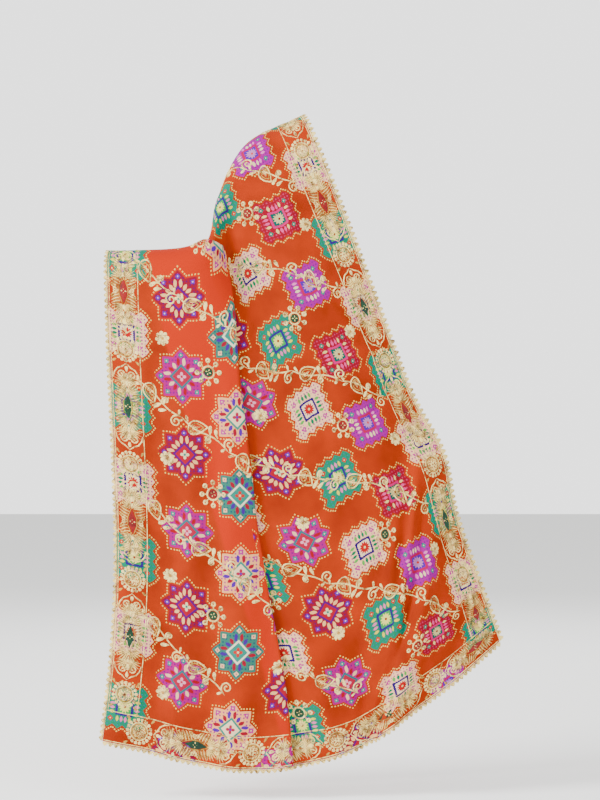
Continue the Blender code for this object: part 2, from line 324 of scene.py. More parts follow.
def fall_point(track, level):
    """The track's point at each level, in an array with x, y and z last."""
    crest, back, front = track
    length_of_cloth = sizes().length
    behind = np.where(level >= 0, 1.0, -1.0)
    share = np.abs(level)
    turn = crest.radius * math.pi / 2
    back_x, back_z = back.hem_x - crest.x, back.hem_z - crest.z
    back_chord = math.hypot(back_x, back_z)
    front_chord = length_of_cloth - crest.cut_v - turn + crest.radius
    front_x = (front.hem_x - crest.x) / front_chord
    fall_x = np.where(level >= 0, back_x / back_chord, front_x)
    fall_z = np.where(level >= 0, back_z / back_chord, -math.sqrt(1 - front_x**2))
    chord = np.where(level >= 0, back_chord, front_chord)
    length = turn + chord - crest.radius
    run = share * length
    angle = np.minimum(run / crest.radius, math.pi / 2)
    along = np.where(run < turn, crest.radius * (1 - np.cos(angle)), crest.radius + run - turn)
    rest = np.clip((run - turn) / (length - turn), 0, 1)
    start_y = crest.y - behind * crest.radius
    middle_y = np.where(level >= 0, back.blade_y, front.chest_y)
    end_y = np.where(level >= 0, back.hem_y, front.hem_y)
    y = crest.y - behind * crest.radius * np.sin(angle)
    y += (middle_y - start_y) * np.sin(math.pi / 2 * np.minimum(rest / BLADE_LEVEL, 1))
    y += (end_y - middle_y) * smooth((rest - BLADE_LEVEL) / (1 - BLADE_LEVEL))
    aside = np.where(level >= 0, back.bow * np.sin(math.pi * share**back.skew), 0)
    if crest is CRESTS[0]:
        aside = aside + PULL_OUT * np.exp(-(((level - PULL_LEVEL) / PULL_REACH) ** 2))
    x = crest.x + along * fall_x - aside * fall_z
    z = crest.z + along * fall_z + aside * fall_x
    return np.stack([x, y, z], axis=-1)


def form_point(place, level):
    """The form under the cloth, place 0 on the neck edge and 5 on the wrist edge."""
    place, level = np.broadcast_arrays(np.asarray(place, float), np.asarray(level, float))
    posts = np.stack([fall_point(track, level) for track in TRACKS])
    spans = np.linalg.norm(np.diff(posts, axis=0), axis=-1)[..., None]
    slopes = np.diff(posts, axis=0) / spans
    tangents = [slopes[0]]
    for before, after, slope_before, slope_after in zip(spans, spans[1:], slopes, slopes[1:]):
        tangents.append((after * slope_before + before * slope_after) / (before + after))
    tangents = np.stack(tangents + [slopes[-1]])
    first = np.clip(place.astype(int), 0, len(TRACKS) - 2)
    part = (place - first)[..., None]
    pick = (first,) + tuple(np.indices(place.shape))
    following = (first + 1,) + pick[1:]
    span = spans[pick]
    result = (1 + 2 * part) * (1 - part) ** 2 * posts[pick]
    result += part * (1 - part) ** 2 * span * tangents[pick]
    result += part**2 * (3 - 2 * part) * posts[following]
    return result - part**2 * (1 - part) * span * tangents[following]


def form_normal(place, level):
    """The form's unit normal, away from what it is draped over."""
    left = form_point(np.minimum(place + PLACE_STEP, WRIST), level)
    right = form_point(np.maximum(place - PLACE_STEP, 0), level)
    behind = form_point(place, np.minimum(level + LEVEL_STEP, 1))
    before = form_point(place, np.maximum(level - LEVEL_STEP, -1))
    return unit(np.cross(left - right, behind - before))


def relief(run, width, level):
    """How far the cloth stands off the form, run metres from the neck edge along a row."""
    share = run / width
    if level < 0:
        uneven = 1 - FRONT_WAVE_SPREAD + FRONT_WAVE_SPREAD * np.sin(FRONT_WAVE_BEAT * share)
        height = FRONT_WAVE_HEIGHT * ramp(-level, FRONT_WAVE_START, FRONT_WAVE_FULL) * uneven
        return height * np.cos(2 * math.pi * FRONT_WAVES * share)
    panel = ramp(share, ARM_PANEL_START, ARM_PANEL_FULL) * ramp(level, ARM_WAVE_START, ARM_WAVE_FULL)
    waves = ARM_WAVE_HEIGHT * panel * np.sin(2 * math.pi * (width - run) / ARM_WAVE_LENGTH)
    down = np.clip((level - GATHER_LEVEL) / (1 - GATHER_LEVEL), 0, 1)
    line = (RIDGE_TOP_SHARE + (RIDGE_HEM_SHARE - RIDGE_TOP_SHARE) * down) * width
    inside = line - run
    ridge = ramp(inside, -RIDGE_RISE / 2, RIDGE_RISE / 2) * np.exp(-np.maximum(inside, 0) / RIDGE_EASE)
    return waves + RIDGE_HEIGHT * ramp(level, GATHER_LEVEL, RIDGE_FULL) * ridge


def cloth_row(level):
    """One row from the neck edge through both folds to the wrist edge.

    It gives the points, u, and how far each point lies in three layers.
    """
    places = np.linspace(0, WRIST, ROW_POSTS)
    line = form_point(places, level)
    runs = np.concatenate([[0], np.cumsum(np.linalg.norm(np.diff(line, axis=0), axis=1))])
    levels = [fold.level for fold in FOLDS]
    outer = np.interp(level, levels, [fold.outer for fold in FOLDS])
    inner = np.interp(level, levels, [fold.inner for fold in FOLDS])
    width = runs[-1]
    marks = np.interp([0, 1, 2, 3, inner, outer], places, runs)
    turn = np.linspace(0, math.pi, NOSE_POSTS + 2)[1:-1]
    nose_run = LAYER_STEP / 2 * np.sin(turn)
    nose_layer = (1 - np.cos(turn)) / 2
    run = np.concatenate(
        [
            np.linspace(0, marks[4], BACK_COLUMNS),
            marks[4] + nose_run,
            np.linspace(marks[4], marks[5], TUCK_COLUMNS),
            marks[5] - nose_run,
            np.linspace(marks[5], width, ARM_COLUMNS),
        ]
    )
    layer = np.concatenate(
        [
            np.zeros(BACK_COLUMNS),
            nose_layer,
            np.ones(TUCK_COLUMNS),
            1 + nose_layer,
            np.full(ARM_COLUMNS, 2.0),
        ]
    )
    place = np.interp(run, runs, places)
    stand_off = relief(run, width, level) + LAYER_STEP * layer
    points = form_point(place, level) + stand_off[:, None] * form_normal(place, level)
    u = np.where(run < marks[3], np.interp(run, marks[:4], TRACK_U), TRACK_U[3] + run - marks[3])
    start, end = BACK_COLUMNS - 1, len(run) - ARM_COLUMNS
    u[end:] = 1 - (width - run[end:])
    steps = np.linalg.norm(np.diff(points[start : end + 1], axis=0), axis=1)
    share = np.concatenate([[0], np.cumsum(steps)]) / steps.sum()
    u[start : end + 1] = u[start] + share * (u[end] - u[start])
    if level < 0:
        lengths = np.linalg.norm(np.diff(points, axis=0), axis=1)
        even = np.concatenate([[0], np.cumsum(lengths)]) / lengths.sum()
        u += ramp(-level, 0, EVEN_LEVEL) * (even - u)
    over = ramp(place, outer - STACK_EDGE, outer + STACK_EDGE)
    under = 1 - ramp(place, inner - STACK_EDGE, inner + STACK_EDGE)
    return points, u, over * under


def cloth_v(u, level):
    """How far along the cut cloth a level lies, from the back hem."""
    posts = [post.u for post in LENGTH_POSTS]
    behind = np.interp(u, posts, [post.behind for post in LENGTH_POSTS])
    taken = np.interp(u, posts, [post.taken for post in LENGTH_POSTS])
    up = 1 - level
    back = (behind - taken) * up + taken * smooth(up / TAKEN_SHARE)
    front = behind + (sizes().length - behind) * -level
    return np.where(level >= 0, back, front)


# Creases listed in the cut cloth, from one end to the other in metres. depth is how far a crease
# lifts the cloth, or sinks it where it is negative, and reach its half-width.
Crease = namedtuple("Crease", "u0 v0 u1 v1 depth reach")
CREASES = (
    Crease(0.07, 0.47, 0.38, -0.03, -0.0150, 0.0115),
    Crease(0.04, 0.44, 0.35, -0.06, 0.0100, 0.0170),
    Crease(0.07, 0.54, 0.21, 0.32, -0.0095, 0.0105),
    Crease(0.05, 0.60, 0.30, 0.28, -0.0060, 0.0180),
    Crease(0.14, 0.52, 0.26, 0.24, 0.0055, 0.0160),
    Crease(0.02, 0.71, 0.16, 0.64, -0.0068, 0.012),
    Crease(0.02, 0.76, 0.17, 0.79, 0.0068, 0.014),
    Crease(0.02, 0.80, 0.12, 0.92, -0.0068, 0.012),
    Crease(0.24, 0.30, 0.30, -0.06, 0.0102, 0.028),
    Crease(0.34, 0.28, 0.37, -0.08, -0.0102, 0.024),
    Crease(0.44, 0.36, 0.45, -0.10, 0.0085, 0.030),
    Crease(0.20, 1.24, 0.34, 1.02, -0.0068, 0.018),
    Crease(0.26, 1.16, 0.42, 0.98, 0.0051, 0.016),
    Crease(0.08, 1.26, 0.16, 1.00, 0.0051, 0.024),
    Crease(0.62, 0.95, 0.68, 0.30, -0.0068, 0.030),
    Crease(0.74, 0.88, 0.77, 0.18, 0.0068, 0.026),
    Crease(0.86, 0.70, 0.90, -0.06, -0.0068, 0.024),
    Crease(0.92, 1.00, 0.95, 0.40, 0.0051, 0.018),
    Crease(0.12, 1.60, 0.10, 2.16, -0.0102, 0.022),
    Crease(0.30, 1.50, 0.34, 2.18, 0.0102, 0.026),
    Crease(0.47, 1.45, 0.44, 2.10, -0.0085, 0.024),
    Crease(0.66, 1.30, 0.70, 2.16, 0.0068, 0.028),
    Crease(0.84, 1.25, 0.82, 2.14, -0.0085, 0.026),
)


def crease_relief(u, v):
    """How far the creases lift the cloth at each point, or sink it where the depth is negative."""
    lift = np.zeros_like(u)
    for crease in CREASES:
        along_u, along_v = crease.u1 - crease.u0, crease.v1 - crease.v0
        length = math.hypot(along_u, along_v)
        share = ((u - crease.u0) * along_u + (v - crease.v0) * along_v) / length**2
        aside = ((u - crease.u0) * along_v - (v - crease.v0) * along_u) / length
        ends = np.sin(math.pi * np.clip(share, 0, 1))
        lift += crease.depth * ends * np.exp(-((aside / crease.reach) ** 2))
    return lift


Cloth = namedtuple("Cloth", "points normals u v stacked levels")


@lru_cache(maxsize=None)
def cloth():
    """The cloth's middle on one grid, in rows from the front hem to the back hem."""
    crest_rows = np.linspace(0, CREST_END, CREST_ROWS, endpoint=False)
    behind = np.concatenate([crest_rows, np.linspace(CREST_END, 1, BACK_ROWS)])
    before = -np.concatenate([crest_rows, np.linspace(CREST_END, 1, FRONT_ROWS)])[:0:-1]
    levels = np.concatenate([before, behind])
    rows = [cloth_row(level) for level in levels]
    points, u, stacked = (np.stack(part) for part in zip(*rows))
    v = cloth_v(u, levels[:, None])
    normals = grid_normals(points)
    points = points + normals * crease_relief(u, v)[..., None]
    return Cloth(points, grid_normals(points), u, v, stacked, levels)


def grid_normals(points):
    return unit(np.cross(np.gradient(points, axis=1), np.gradient(points, axis=0)))


@lru_cache(maxsize=None)
def even_cloth():
    """The cloth's points, normals and v with the columns at even distances across the cut cloth."""
    sheet = cloth()
    spots = np.linspace(0, 1, EVEN_COLUMNS)
    parts = np.concatenate([sheet.points, sheet.normals, sheet.v[..., None]], axis=-1)
    return np.stack(
        [
            np.stack([np.interp(spots, u, row[:, axis]) for axis in range(row.shape[1])], axis=-1)
            for u, row in zip(sheet.u, parts)
        ]
    )


def on_cloth(flat):
    """Points and unit normals of the cloth's middle at places of the cut cloth, in an array of u and v."""
    flat = np.asarray(flat, float)
    even = even_cloth()
    column = np.clip(flat[..., 0], 0, 1) * (EVEN_COLUMNS - 1)
    left = np.minimum(column.astype(int), EVEN_COLUMNS - 2)
    part = (column - left)[..., None]
    v = np.clip(flat[..., 1], 0, sizes().length)
    first = np.zeros(v.shape, int)
    last = np.full(v.shape, len(even) - 1)

    def read(row):
        return even[row, left] * (1 - part) + even[row, left + 1] * part

    while np.any(last - first > 1):
        middle = (first + last) // 2
        above = read(middle)[..., -1] >= v
        first = np.where(above, middle, first)
        last = np.where(above, last, middle)
    above, below = read(first), read(last)
    down = (above[..., -1] - v) / np.maximum(above[..., -1] - below[..., -1], 1e-9)
    mixed = above + np.clip(down, 0, 1)[..., None] * (below - above)
    return mixed[..., :3], unit(mixed[..., 3:6])


def sizes():
    return bpy.context.scene.dupatta_cloth


def colours():
    return bpy.context.scene.dupatta_colours


def linear(colour):
    """An sRGB hex value as linear red, green, blue and full alpha."""
    parts = [int(colour[start : start + 2], 16) / 255 for start in (1, 3, 5)]
    parts = [part / 12.92 if part <= 0.04045 else ((part + 0.055) / 1.055) ** 2.4 for part in parts]
    return parts + [1.0]


def add_node(tree, kind, values=(), **settings):
    """Adds a node, sets what it says, and sets or links its inputs by name or by place."""
    made = tree.nodes.new(kind)
    for name, value in settings.items():
        setattr(made, name, value)
    for socket, value in values.items() if isinstance(values, dict) else enumerate(values):
        if isinstance(value, bpy.types.NodeSocket):
            tree.links.new(value, made.inputs[socket])
        elif value is not None:
            made.inputs[socket].default_value = value
    return made


def new_material(name):
    made = bpy.data.materials.new(name)
    made.use_nodes = True
    made.node_tree.nodes.clear()
    return made, made.node_tree


def add_mesh(name, vertices, faces, finish, flat=None, stacked=None):
    """A mesh object that rides on the only body, with u and v as its UV map."""
    mesh = bpy.data.meshes.new(name)
    mesh.from_pydata(np.asarray(vertices).tolist(), [], faces)
    if flat is not None:
        spots = np.empty(len(mesh.loops), dtype=np.int32)
        mesh.loops.foreach_get("vertex_index", spots)
        mesh.uv_layers.new(name="cut").data.foreach_set("uv", np.asarray(flat)[spots].ravel())
    if stacked is not None:
        mesh.attributes.new("stacked", "FLOAT", "POINT").data.foreach_set("value", np.asarray(stacked))
    mesh.shade_smooth()
    mesh.set_sharp_from_angle(angle=SHARP_ANGLE)
    mesh.materials.append(finish)
    made = bpy.data.objects.new(name, mesh)
    bpy.context.scene.collection.objects.link(made)
    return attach(made, BODY)


def shell(points, normals, wall):
    """Vertices and faces of a closed wall round a grid of middle points."""
    rows, columns = points.shape[:2]
    outside = (points + normals * wall / 2).reshape(-1, 3)
    inside = (points - normals * wall / 2).reshape(-1, 3)
    count = rows * columns
    index = np.arange(count).reshape(rows, columns)
    corners = [index[:-1, :-1], index[1:, :-1], index[1:, 1:], index[:-1, 1:]]
    quads = np.stack(corners, axis=-1).reshape(-1, 4)
    rim = np.concatenate([index[0], index[1:, -1], index[-1, -2::-1], index[-2:0:-1, 0]])
    after = np.roll(rim, -1)
    sides = np.stack([rim, after, after + count, rim + count], axis=-1)
    faces = np.concatenate([quads[:, ::-1], quads + count, sides[:, ::-1]])
    return np.concatenate([outside, inside]), faces.tolist()


# The print's lattice: medallions 115.5 mm apart across the cloth and 160 mm along it, every second column
# shifted by half a step. The first three columns, the middle one and the last are squares, the others
# stars.
FIRST_U = 0.038
STEP_U = 0.1155
FIRST_V = 0.08
STEP_V = 0.16
FIRST_STARS = 3
MIDDLE_COLUMN = 4
LAST_COLUMN = 8
# A star's edge: its least radius, how far its eight tips stand out, and how hollow their sides are
STAR_RADIUS = 0.0425
TIP_LENGTH = 0.0140
TIP_SHARPNESS = 1.25
HALF_TIP = math.pi / 8
# A square's edge: its least distance from the middle, half a tooth's width, and the slope of its sides
STEP_RADIUS = 0.0395
TOOTH_HALF = 0.011
TOOTH_SLOPE = 0.77
# The dots outside both edges, at their real distance of about 5 mm from one to the next
DOTS_ROUND = 64
DOT_STEP = TOOTH_HALF / 2.5
DOT_OFFSET = 0.0058
DOT_RADIUS = 0.0017
# The pins 7.4 mm apart, from outside the petals to just inside the edge
PIN_PITCH = 0.0074
PIN_SHARE = 0.25
PIN_START = 0.0325
PIN_MARGIN = 0.0015
# The frame in the middle: how far out its line lies, half the line's width, and the room inside it
RHOMBUS_OUT = 0.0232
RHOMBUS_LINE = 0.0029
RHOMBUS_ROOM = 0.0203
SQUARE_OUT = 0.0158
SQUARE_LINE = 0.0023
SQUARE_ROOM = 0.0137
ZIGZAG_HALF = 0.0022
ZIGZAG_SLOPE = 0.7
# The figure in that room: a cross in a star, a burst of twelve rays in a square, and a heart in both
CROSS_WAIST = 0.0030
CROSS_REACH = 0.0068
BURST_WAIST = 0.0082
BURST_SLOPE = 0.020
BURST_HALF = math.pi / 12
HEART_RADIUS = 0.0026
# Petals round the rhombus and bars beside the square, with half their lengths and widths
PETALS_ROUND = 16
PETAL_OUT = 0.0365
PETAL_LENGTH = 0.0098
PETAL_WIDTH = 0.0040
BAR_PITCH = 0.0088
BAR_OUT = 0.0265
BAR_LENGTH = 0.0062
BAR_WIDTH = 0.0031
BAR_LIMIT = 0.0172
# Small flowers in the tips of a star and in the corners of a square
SPRIGS_ROUND = 8
SPRIG_OUT = 0.0445
CORNER_OUT = 0.0280
SPRIG_REACH = 0.0060
SPRIG_HEART = 0.0020
COLOURINGS = 8


def either(name, square, star):
    """Two steps that give the value of a square medallion or of a star."""
    return (name, "SUBTRACT", square, star), (name, "MULTIPLY_ADD", name, "stepped", star)


def off_middle(name, turns):
    """Three steps that give how far a value lies from the middle of its turn."""
    return (name, "FRACT", turns), (name, "SUBTRACT", name, 0.5), (name, "ABSOLUTE", name)


def star_tips(name, angle):
    """Three steps that give how far a star's edge stands out at an angle, 0 between tips and 1 at a tip."""
    return (
        (name, "PINGPONG", angle, HALF_TIP),
        (name, "MULTIPLY_ADD", name, -1 / HALF_TIP, 1.0),
        (name, "POWER", name, TIP_SHARPNESS),
    )


def rounded_end(name, distance, out, length, width):
    """Four steps that give the half-width of a petal or bar, which is widest at the distance out."""
    return (
        (name, "SUBTRACT", distance, out),
        (name, "DIVIDE", name, length),
        (name, "MULTIPLY", name, name),
        (name, "MULTIPLY_ADD", name, -width, width),
    )


# The print worked out by Math nodes, one a line: the result, the operation and its values. u and v are in
# metres. odd and twin say which of the four colourings a medallion has. gap is the distance outside its
# edge. stepped is 1 for a square medallion with serrated sides, and 0 for a star with eight points.
PRINT_STEPS = (
    ("column", "MULTIPLY_ADD", "u", 1 / STEP_U, -FIRST_U / STEP_U),
    ("column", "ROUND", "column"),
    ("column", "MINIMUM", "column", LAST_COLUMN),
    ("column", "MAXIMUM", "column", 0.0),
    ("odd", "PINGPONG", "column", 1.0),
    ("across", "MULTIPLY_ADD", "column", -STEP_U, "u"),
    ("across", "SUBTRACT", "across", FIRST_U),
    ("up", "MULTIPLY_ADD", "odd", -STEP_V / 2, "v"),
    ("up", "SUBTRACT", "up", FIRST_V),
    ("row", "DIVIDE", "up", STEP_V),
    ("row", "ROUND", "row"),
    ("along", "MULTIPLY_ADD", "row", -STEP_V, "up"),
    ("pair", "MULTIPLY", "column", 0.5),
    ("pair", "FLOOR", "pair"),
    ("twin", "ADD", "pair", "row"),
    ("twin", "PINGPONG", "twin", 1.0),
    ("first_columns", "LESS_THAN", "column", FIRST_STARS - 0.5),
    ("middle_column", "COMPARE", "column", MIDDLE_COLUMN, 0.5),
    ("last_column", "GREATER_THAN", "column", LAST_COLUMN - 0.5),
    ("stepped", "MAXIMUM", "first_columns", "middle_column"),
    ("stepped", "MAXIMUM", "stepped", "last_column"),
    ("x", "ABSOLUTE", "across"),
    ("y", "ABSOLUTE", "along"),
    ("far", "MAXIMUM", "x", "y"),
    ("near", "MINIMUM", "x", "y"),
    ("y_squared", "MULTIPLY", "y", "y"),
    ("radius", "MULTIPLY_ADD", "x", "x", "y_squared"),
    ("radius", "SQRT", "radius"),
    ("angle", "ARCTAN2", "along", "across"),
    # the edges: eight tips with hollow sides, or four teeth on each side of a square
    *star_tips("tip", "angle"),
    ("star_edge", "MULTIPLY_ADD", "tip", TIP_LENGTH, STAR_RADIUS),
    ("star_gap", "SUBTRACT", "radius", "star_edge"),
    ("tooth", "PINGPONG", "near", TOOTH_HALF),
    ("step_edge", "MULTIPLY_ADD", "tooth", TOOTH_SLOPE, STEP_RADIUS),
    ("step_gap", "SUBTRACT", "far", "step_edge"),
    *either("gap", "step_gap", "star_gap"),
    ("body", "LESS_THAN", "gap", 0.0),
    # round dots outside the edge of a star
    ("dot_turn", "MULTIPLY", "angle", DOTS_ROUND / TURN),
    ("dot_turn", "ROUND", "dot_turn"),
    ("dot_turn", "MULTIPLY", "dot_turn", TURN / DOTS_ROUND),
    *star_tips("dot_tip", "dot_turn"),
    ("dot_out", "MULTIPLY_ADD", "dot_tip", TIP_LENGTH, STAR_RADIUS + DOT_OFFSET),
    ("dot_out", "SUBTRACT", "radius", "dot_out"),
    ("dot_out", "MULTIPLY", "dot_out", "dot_out"),
    ("dot_turn", "SUBTRACT", "angle", "dot_turn"),
    ("dot_turn", "MULTIPLY", "dot_turn", "radius"),
    ("star_dots", "MULTIPLY_ADD", "dot_turn", "dot_turn", "dot_out"),
    # and outside the teeth of a square, but for the ends of its diagonals
    ("dot_near", "MULTIPLY_ADD", "near", 1 / DOT_STEP, 0.5),
    ("dot_near", "ROUND", "dot_near"),
    ("dot_near", "MULTIPLY_ADD", "dot_near", DOT_STEP, -DOT_STEP / 2),
    ("dot_tooth", "PINGPONG", "dot_near", TOOTH_HALF),
    ("dot_far", "MULTIPLY_ADD", "dot_tooth", TOOTH_SLOPE, STEP_RADIUS + DOT_OFFSET),
    ("dot_far", "SUBTRACT", "far", "dot_far"),
    ("dot_far", "MULTIPLY", "dot_far", "dot_far"),
    ("dot_near", "SUBTRACT", "near", "dot_near"),
    ("step_dots", "MULTIPLY_ADD", "dot_near", "dot_near", "dot_far"),
    ("no_dots", "GREATER_THAN", "near", STEP_RADIUS + TOOTH_HALF / 2),
    ("step_dots", "ADD", "step_dots", "no_dots"),
    *either("dots", "step_dots", "star_dots"),
    ("dots", "LESS_THAN", "dots", DOT_RADIUS**2),
    # small pins outside the petals
    ("pin_across", "DIVIDE", "x", PIN_PITCH),
    *off_middle("pin_across", "pin_across"),
    ("pin_along", "DIVIDE", "y", PIN_PITCH),
    *off_middle("pin_along", "pin_along"),
    ("pin_along", "MULTIPLY", "pin_along", "pin_along"),
    ("pins", "MULTIPLY_ADD", "pin_across", "pin_across", "pin_along"),
    ("pins", "LESS_THAN", "pins", PIN_SHARE**2),
    ("pin_room", "GREATER_THAN", "radius", PIN_START),
    ("pins", "MULTIPLY", "pins", "pin_room"),
    ("pin_room", "LESS_THAN", "gap", -PIN_MARGIN),
    ("pins", "MULTIPLY", "pins", "pin_room"),
    # the frame in the middle: a rhombus in a star, an upright square in a stepped one
    ("rhombus", "ADD", "x", "y"),
    ("star_frame", "COMPARE", "rhombus", RHOMBUS_OUT, RHOMBUS_LINE),
    ("frame_zigzag", "PINGPONG", "near", ZIGZAG_HALF),
    ("frame_far", "MULTIPLY_ADD", "frame_zigzag", -ZIGZAG_SLOPE, "far"),
    ("step_frame", "COMPARE", "frame_far", SQUARE_OUT, SQUARE_LINE),
    *either("frame", "step_frame", "star_frame"),
    ("star_middle", "LESS_THAN", "rhombus", RHOMBUS_ROOM),
    ("step_middle", "LESS_THAN", "far", SQUARE_ROOM),
    *either("middle", "step_middle", "star_middle"),
    ("cross", "MULTIPLY", "angle", 2.0),
    ("cross", "COSINE", "cross"),
    ("cross", "ABSOLUTE", "cross"),
    ("cross", "MULTIPLY_ADD", "cross", CROSS_REACH, CROSS_WAIST),
    ("burst", "PINGPONG", "angle", BURST_HALF),
    ("burst", "MULTIPLY_ADD", "burst", BURST_SLOPE, BURST_WAIST),
    *either("figure", "burst", "cross"),
    ("figure", "LESS_THAN", "radius", "figure"),
    ("heart", "LESS_THAN", "radius", HEART_RADIUS),
    # petals round the rhombus
    ("petal_turn", "MULTIPLY", "angle", PETALS_ROUND / TURN),
    *off_middle("petal_along", "petal_turn"),
    ("petal_along", "MULTIPLY", "petal_along", "radius"),
    ("petal_along", "MULTIPLY", "petal_along", TURN / PETALS_ROUND),
    *rounded_end("petal_width", "rhombus", PETAL_OUT, PETAL_LENGTH, PETAL_WIDTH),
    ("star_petals", "LESS_THAN", "petal_along", "petal_width"),
    ("star_turn", "FLOOR", "petal_turn"),
    ("star_turn", "PINGPONG", "star_turn", 1.0),
    # short bars on each side of the square
    ("bar_turn", "DIVIDE", "near", BAR_PITCH),
    *off_middle("bar_along", "bar_turn"),
    ("bar_along", "MULTIPLY", "bar_along", BAR_PITCH),
    *rounded_end("bar_width", "far", BAR_OUT, BAR_LENGTH, BAR_WIDTH),
    ("bars", "LESS_THAN", "bar_along", "bar_width"),
    ("bar_room", "LESS_THAN", "near", BAR_LIMIT),
    ("bars", "MULTIPLY", "bars", "bar_room"),
    ("bar_turn", "FLOOR", "bar_turn"),
    ("bar_turn", "PINGPONG", "bar_turn", 1.0),
    *either("petals", "bars", "star_petals"),
    *either("turn", "bar_turn", "star_turn"),
    ("second_petals", "MULTIPLY", "petals", "turn"),
    # a small flower in each tip of a star, and in each corner of a square
    ("sprig_along", "MULTIPLY_ADD", "angle", SPRIGS_ROUND / TURN, 0.5),
    *off_middle("sprig_along", "sprig_along"),
    ("sprig_along", "MULTIPLY", "sprig_along", "radius"),
    ("sprig_along", "MULTIPLY", "sprig_along", TURN / SPRIGS_ROUND),
    ("sprig_out", "SUBTRACT", "radius", SPRIG_OUT),
    ("sprig_out", "ABSOLUTE", "sprig_out"),
    ("tip_sprig", "ADD", "sprig_along", "sprig_out"),
    ("corner_far", "SUBTRACT", "far", CORNER_OUT),
    ("corner_far", "ABSOLUTE", "corner_far"),
    ("corner_near", "SUBTRACT", "near", CORNER_OUT),
    ("corner_near", "ABSOLUTE", "corner_near"),
    ("corner_sprig", "ADD", "corner_far", "corner_near"),
    *either("sprig", "corner_sprig", "tip_sprig"),
    ("sprigs", "LESS_THAN", "sprig", SPRIG_REACH),
    ("sprig_hearts", "LESS_THAN", "sprig", SPRIG_HEART),
    # which of the eight colourings, as the middle of its stop on a colour ramp
    ("colouring", "MULTIPLY_ADD", "odd", 2.0, "twin"),
    ("colouring", "MULTIPLY_ADD", "stepped", 4.0, "colouring"),
    ("colouring", "MULTIPLY_ADD", "colouring", 1 / COLOURINGS, 0.5 / COLOURINGS),
)

# The print's colours: stars in teal, cream, crimson and magenta, then squares in the same four
Inks = namedtuple("Inks", "mask colours")
INKS = (
    Inks("body", "#38806E #FFB878 #9A1030 #B40C80 #008A62 #FFD0A0 #A20828 #AC1098"),
    Inks("pins", "#24586C #B0208C #641460 #7C1084 #2C7C90 #B8188C #C43A64 #7C1490"),
    Inks("sprigs", "#F2C89A #BE2098 #6A2CAC #2C8A84 #C8321E #C4209C #00806C #0C8A80"),
    Inks("sprig_hearts", "#C83A50 #F2DC90 #E8B8D8 #F0D0B0 #F0E0A0 #F2DC90 #F0D0B0 #F2DC90"),
    Inks("petals", "#A41030 #A41030 #F8C07C #F8CC9C #E87CB8 #007C54 #EC4C94 #F8E0AC"),
    Inks("second_petals", "#4C2098 #5A1CA8 #F8C07C #AC0C20 #E8D84C #5CB44C #F3D480 #F07CC8"),
    Inks("frame", "#F5EACC #2F9080 #5C1078 #2F7480 #3A1684 #2A0A70 #DC147C #C01050"),
    Inks("middle", "#2C9080 #F8E0B8 #B4122C #B81E40 #3CA850 #F7E0BC #00605A #5A18B0"),
    Inks("figure", "#D02A22 #B81E44 #E8DCA8 #F4A4BC #F0E878 #C01418 #D8C888 #C888C0"),
    Inks("heart", "#F0E0A0 #6A2CA8 #0A8070 #C0203C #8C1C14 #F2DC90 #801410 #D83828"),
)


# Where Blender's Mix node has its factor, its two colours and the mixed colour
MIX_SHARE, MIX_UNDER, MIX_OVER, MIX_RESULT = 0, 6, 7, 2

# The sizes of the materials' patterns in millimetres, and how deep their bumps are in metres
CLOUD_MM = 91
GRAIN_MM = 1.282
STRAND_MM = 1.613
PATCH_MM = 11.11
GRAIN_DEPTH = 0.0004
STRAND_DEPTH = 0.0004
# How much of the light the georgette lets through, and how rough the two threads are
SHEERNESS = 0.28
RAYON_ROUGHNESS = 0.5
LACE_ROUGHNESS = 0.6


def per_metre(millimetres):
    """A pattern's scale from its real size."""
    return 1000 / millimetres


